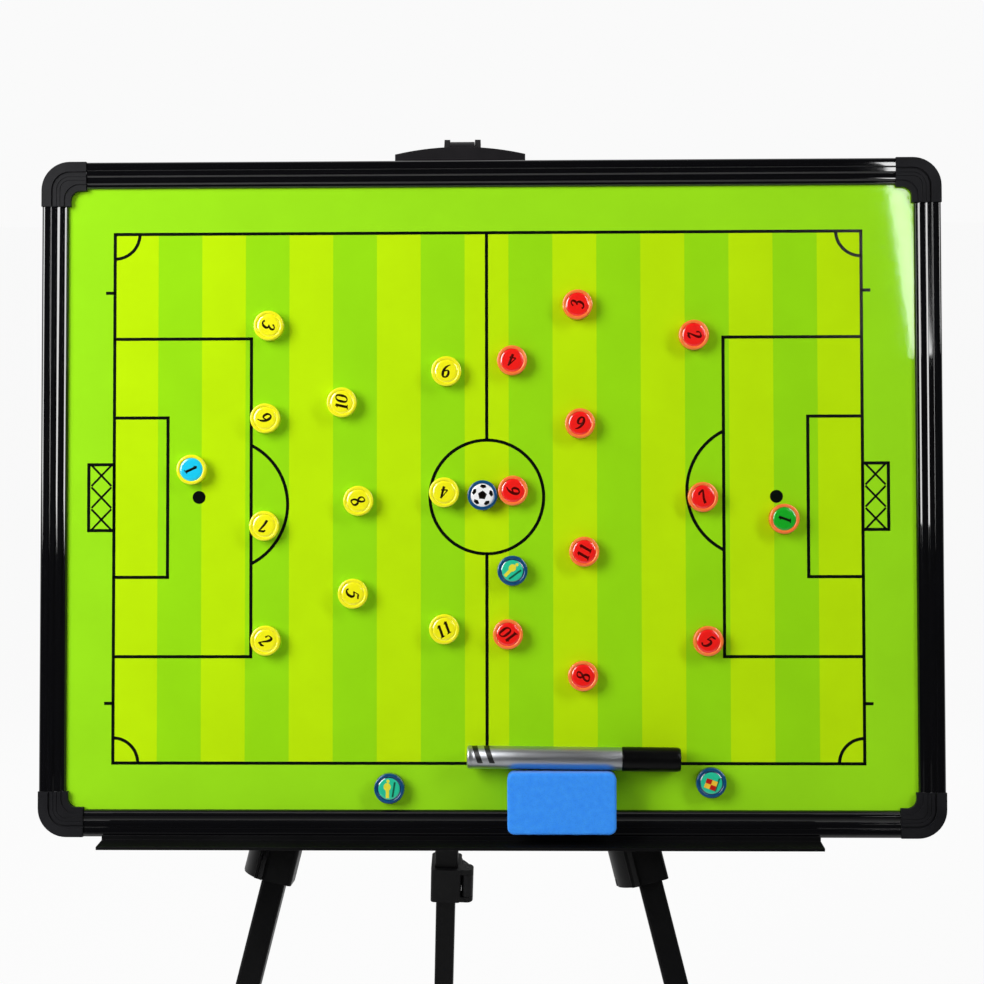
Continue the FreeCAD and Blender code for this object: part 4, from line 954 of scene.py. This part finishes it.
def drawn_aluminium():
    """Lacquered aluminium tube: silver, drawn out in fine lines, with two printed bands."""
    material, place = board_surface("drawn_aluminium_barrel")
    start = add(material, "ShaderNodeMapping", {
        "Vector": place, "Location": [at * MM for at in PEN_START],
        "Rotation": (0, 0, math.radians(-PEN_TILT))}, vector_type="TEXTURE")
    axes = add(material, "ShaderNodeSeparateXYZ", {0: start.outputs[0]})
    drawn = add(material, "ShaderNodeMapping", {"Vector": start.outputs[0], "Scale": (1, 30, 30)})
    lines = add(material, "ShaderNodeTexNoise", {
        "Vector": drawn.outputs[0], "Scale": 1 / (24 * MM), "Detail": 3.0})
    silver = add(material, "ShaderNodeMix", {
        0: lines.outputs["Fac"], 6: srgb("#AEB0B4"), 7: srgb("#C8CACE")}, data_type="RGBA")
    along = add(material, "ShaderNodeMath", {0: axes.outputs["X"], 1: -BAND_START * MM}, operation="ADD")
    lean = add(material, "ShaderNodeMath", {0: axes.outputs["Y"], 1: BAND_LEAN, 2: along.outputs[0]},
               operation="MULTIPLY_ADD")
    pair = add(material, "ShaderNodeMath", {
        0: lean.outputs[0], 1: BAND_PERIOD * MM}, operation="FLOORED_MODULO")
    band = 1.0
    for value, limit, test in (
            (pair.outputs[0], BAND_WIDTH, "LESS_THAN"), (lean.outputs[0], 0, "GREATER_THAN"),
            (lean.outputs[0], 2 * BAND_PERIOD, "LESS_THAN"), (axes.outputs["Y"], BAND_LOW, "GREATER_THAN")):
        passed = add(material, "ShaderNodeMath", {0: value, 1: limit * MM}, operation=test)
        printed = add(material, "ShaderNodeMath", {0: passed.outputs[0], 1: band}, operation="MULTIPLY")
        band = printed.outputs[0]
    tone = add(material, "ShaderNodeMix", {
        0: band, 6: silver.outputs[2], 7: srgb("#020203")}, data_type="RGBA")
    metal = add(material, "ShaderNodeMath", {0: 1.0, 1: band}, operation="SUBTRACT")
    sheen = add(material, "ShaderNodeMapRange", {
        "Value": lines.outputs["Fac"], **NOISE_SPAN, "To Min": 0.34, "To Max": 0.42})
    return show(material, add(material, "ShaderNodeBsdfPrincipled", {
        "Base Color": tone.outputs[2], "Metallic": metal.outputs[0], "Roughness": sheen.outputs["Result"]}))


def lay_pen(piece, body, node):
    """Turn a pen part, made along Z, to lie where the pen lies, and settle it."""
    start = Matrix.Translation([at * MM for at in PEN_START])
    tilt = Matrix.Rotation(math.radians(-PEN_TILT), 4, "Z")
    piece.matrix_world = start @ tilt @ Matrix.Rotation(math.pi / 2, 4, "Y")
    put_on_board(piece)
    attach(piece, body)
    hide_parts(node)


barrel = turned("barrel_tube", BARREL_PROFILE)
wear(barrel, drawn_aluminium())
lay_pen(barrel, "pen", "pen_barrel")
pen_cap = turned("cap_shell", CAP_PROFILE + CAP_INSIDE)
wear(pen_cap, moulded_abs("moulded_abs_pen_cap", "#030304", "#080809", 0.3))
lay_pen(pen_cap, "pen_cap", "pen_cap")


def inked_felt():
    """Bonded fibre soaked in ink: black and dull, with fine fibres."""
    material, place = new_surface("inked_felt_nib")
    fibre = add(material, "ShaderNodeTexNoise", {"Vector": place, "Scale": 1 / (0.7 * MM), "Detail": 4.0})
    tone = add(material, "ShaderNodeMix", {
        0: fibre.outputs["Fac"], 6: srgb("#080808"), 7: srgb("#1C1C1E")}, data_type="RGBA")
    return show(material, add(material, "ShaderNodeBsdfPrincipled", {
        "Base Color": tone.outputs[2], "Roughness": 0.9}))


frame["nodes"]["pen_nib"].material_slots[0].material = inked_felt()

# Stage: a pale floor that runs out to a white surround, and soft lamps left, right and behind.
# The side lamps draw the bright lines along the frame's grooves and the arcs in the magnets.
FLOOR_SIZE = 60000
FLOOR_GLOW, FLOOR_STRENGTH = 0.93, 1.055
BACKDROP_FROM, BACKDROP_FULL = 100, 600
ROOM_LIGHT = 0.14
PALE, PAPER = "#FAFAFA", "#D8D8D8"
deselect()
bpy.ops.mesh.primitive_plane_add(size=FLOOR_SIZE * MM)
floor = bpy.context.object
floor.name = "studio_floor"
floor_paper, place = new_surface("studio_floor_paper")
ray = add(floor_paper, "ShaderNodeLightPath")
sees_more = add(floor_paper, "ShaderNodeMath", {
    0: ray.outputs["Is Glossy Ray"], 1: ray.outputs["Is Transmission Ray"]}, operation="MAXIMUM")
axes = add(floor_paper, "ShaderNodeSeparateXYZ", {0: place})
beyond = add(floor_paper, "ShaderNodeMapRange", {
    "Value": axes.outputs["Y"], "From Min": BACKDROP_FROM * MM, "From Max": BACKDROP_FULL * MM})
backdrop = add(floor_paper, "ShaderNodeMath", {0: sees_more.outputs[0], 1: beyond.outputs["Result"]},
               operation="MULTIPLY")
sees = add(floor_paper, "ShaderNodeMath", {0: ray.outputs["Is Camera Ray"], 1: backdrop.outputs[0]},
           operation="MAXIMUM")
share = add(floor_paper, "ShaderNodeMath", {0: sees.outputs[0], 1: FLOOR_GLOW}, operation="MULTIPLY")
paper = add(floor_paper, "ShaderNodeBsdfDiffuse", {"Color": srgb(PAPER)})
bright = add(floor_paper, "ShaderNodeEmission", {"Color": srgb(PALE), "Strength": FLOOR_STRENGTH})
show(floor_paper, add(floor_paper, "ShaderNodeMixShader", {
    0: share.outputs[0], 1: paper.outputs[0], 2: bright.outputs[0]}))
wear(floor, floor_paper)

world = bpy.data.worlds.new("studio_surround")
bpy.context.scene.world = world
world.use_nodes = True
world.node_tree.nodes.clear()
ray = add(world, "ShaderNodeLightPath")
sees = add(world, "ShaderNodeMath", {0: ray.outputs["Is Camera Ray"], 1: ray.outputs["Is Glossy Ray"]},
           operation="MAXIMUM")
sees_all = add(world, "ShaderNodeMath", {0: sees.outputs[0], 1: ray.outputs["Is Transmission Ray"]},
               operation="MAXIMUM")
looking = add(world, "ShaderNodeSeparateXYZ", {0: add(world, "ShaderNodeTexCoord").outputs["Generated"]})
behind = add(world, "ShaderNodeMapRange", {
    "Value": looking.outputs["Y"], "From Min": -0.1, "From Max": 0.4, "To Min": 0.02, "To Max": 1.0})
seen = add(world, "ShaderNodeMath", {0: ray.outputs["Is Camera Ray"], 1: behind.outputs["Result"]},
           operation="MAXIMUM")
room = add(world, "ShaderNodeMix", {0: sees_all.outputs[0], 2: ROOM_LIGHT, 3: seen.outputs[0]})
surround = add(world, "ShaderNodeBackground", {"Color": srgb(PALE), "Strength": room.outputs[0]})
add(world, "ShaderNodeOutputWorld", {"Surface": surround.outputs[0]})

LAMPS = {
    "left_softbox": ((-1100, 520, 820), (700, 1100), 23.5),
    "right_softbox": ((1320, 800, 800), (240, 1200), 13.0),
    "glare_card": ((603, 440, 1500), (30, 380), 0.42),
    "back_softbox": ((0, 100, -1700), (900, 700), 8.0),
}
for name, (place, size, power) in LAMPS.items():
    bpy.ops.object.light_add(type="AREA")
    lamp = bpy.context.object
    lamp.name = name
    lamp.data.shape = "RECTANGLE"
    lamp.data.size, lamp.data.size_y = (side * MM for side in size)
    lamp.data.energy = power
    stand = board @ Vector([at * MM for at in place])
    aim = (face_centre - stand).to_track_quat("-Z", "Y")
    lamp.matrix_world = Matrix.Translation(stand) @ aim.to_matrix().to_4x4()

# Camera: square on to the board, a little below and right of its middle, as the picture was taken.
# The lens is worked out for a square frame, and the turn is an axis times radians.
CAMERA_AT, CAMERA_REACH = (24.5, -30.3, 1153.1), 200000
CAMERA_TURN = (0.02907, 0.01999, -0.00174)
FOCAL_PIXELS, FRAME_PIXELS, SENSOR = 1735.0, 984.0, 36.0
bpy.ops.object.camera_add()
camera = bpy.context.object
camera.data.sensor_width = SENSOR
camera.data.lens = FOCAL_PIXELS / FRAME_PIXELS * SENSOR
camera.data.clip_end = CAMERA_REACH * MM
turn = Vector(CAMERA_TURN)
camera.matrix_world = (board @ Matrix.Translation([at * MM for at in CAMERA_AT])
                       @ Matrix.Rotation(turn.length, 4, turn.normalized()))
bpy.context.scene.camera = camera
bpy.context.scene.view_settings.view_transform = "Standard"
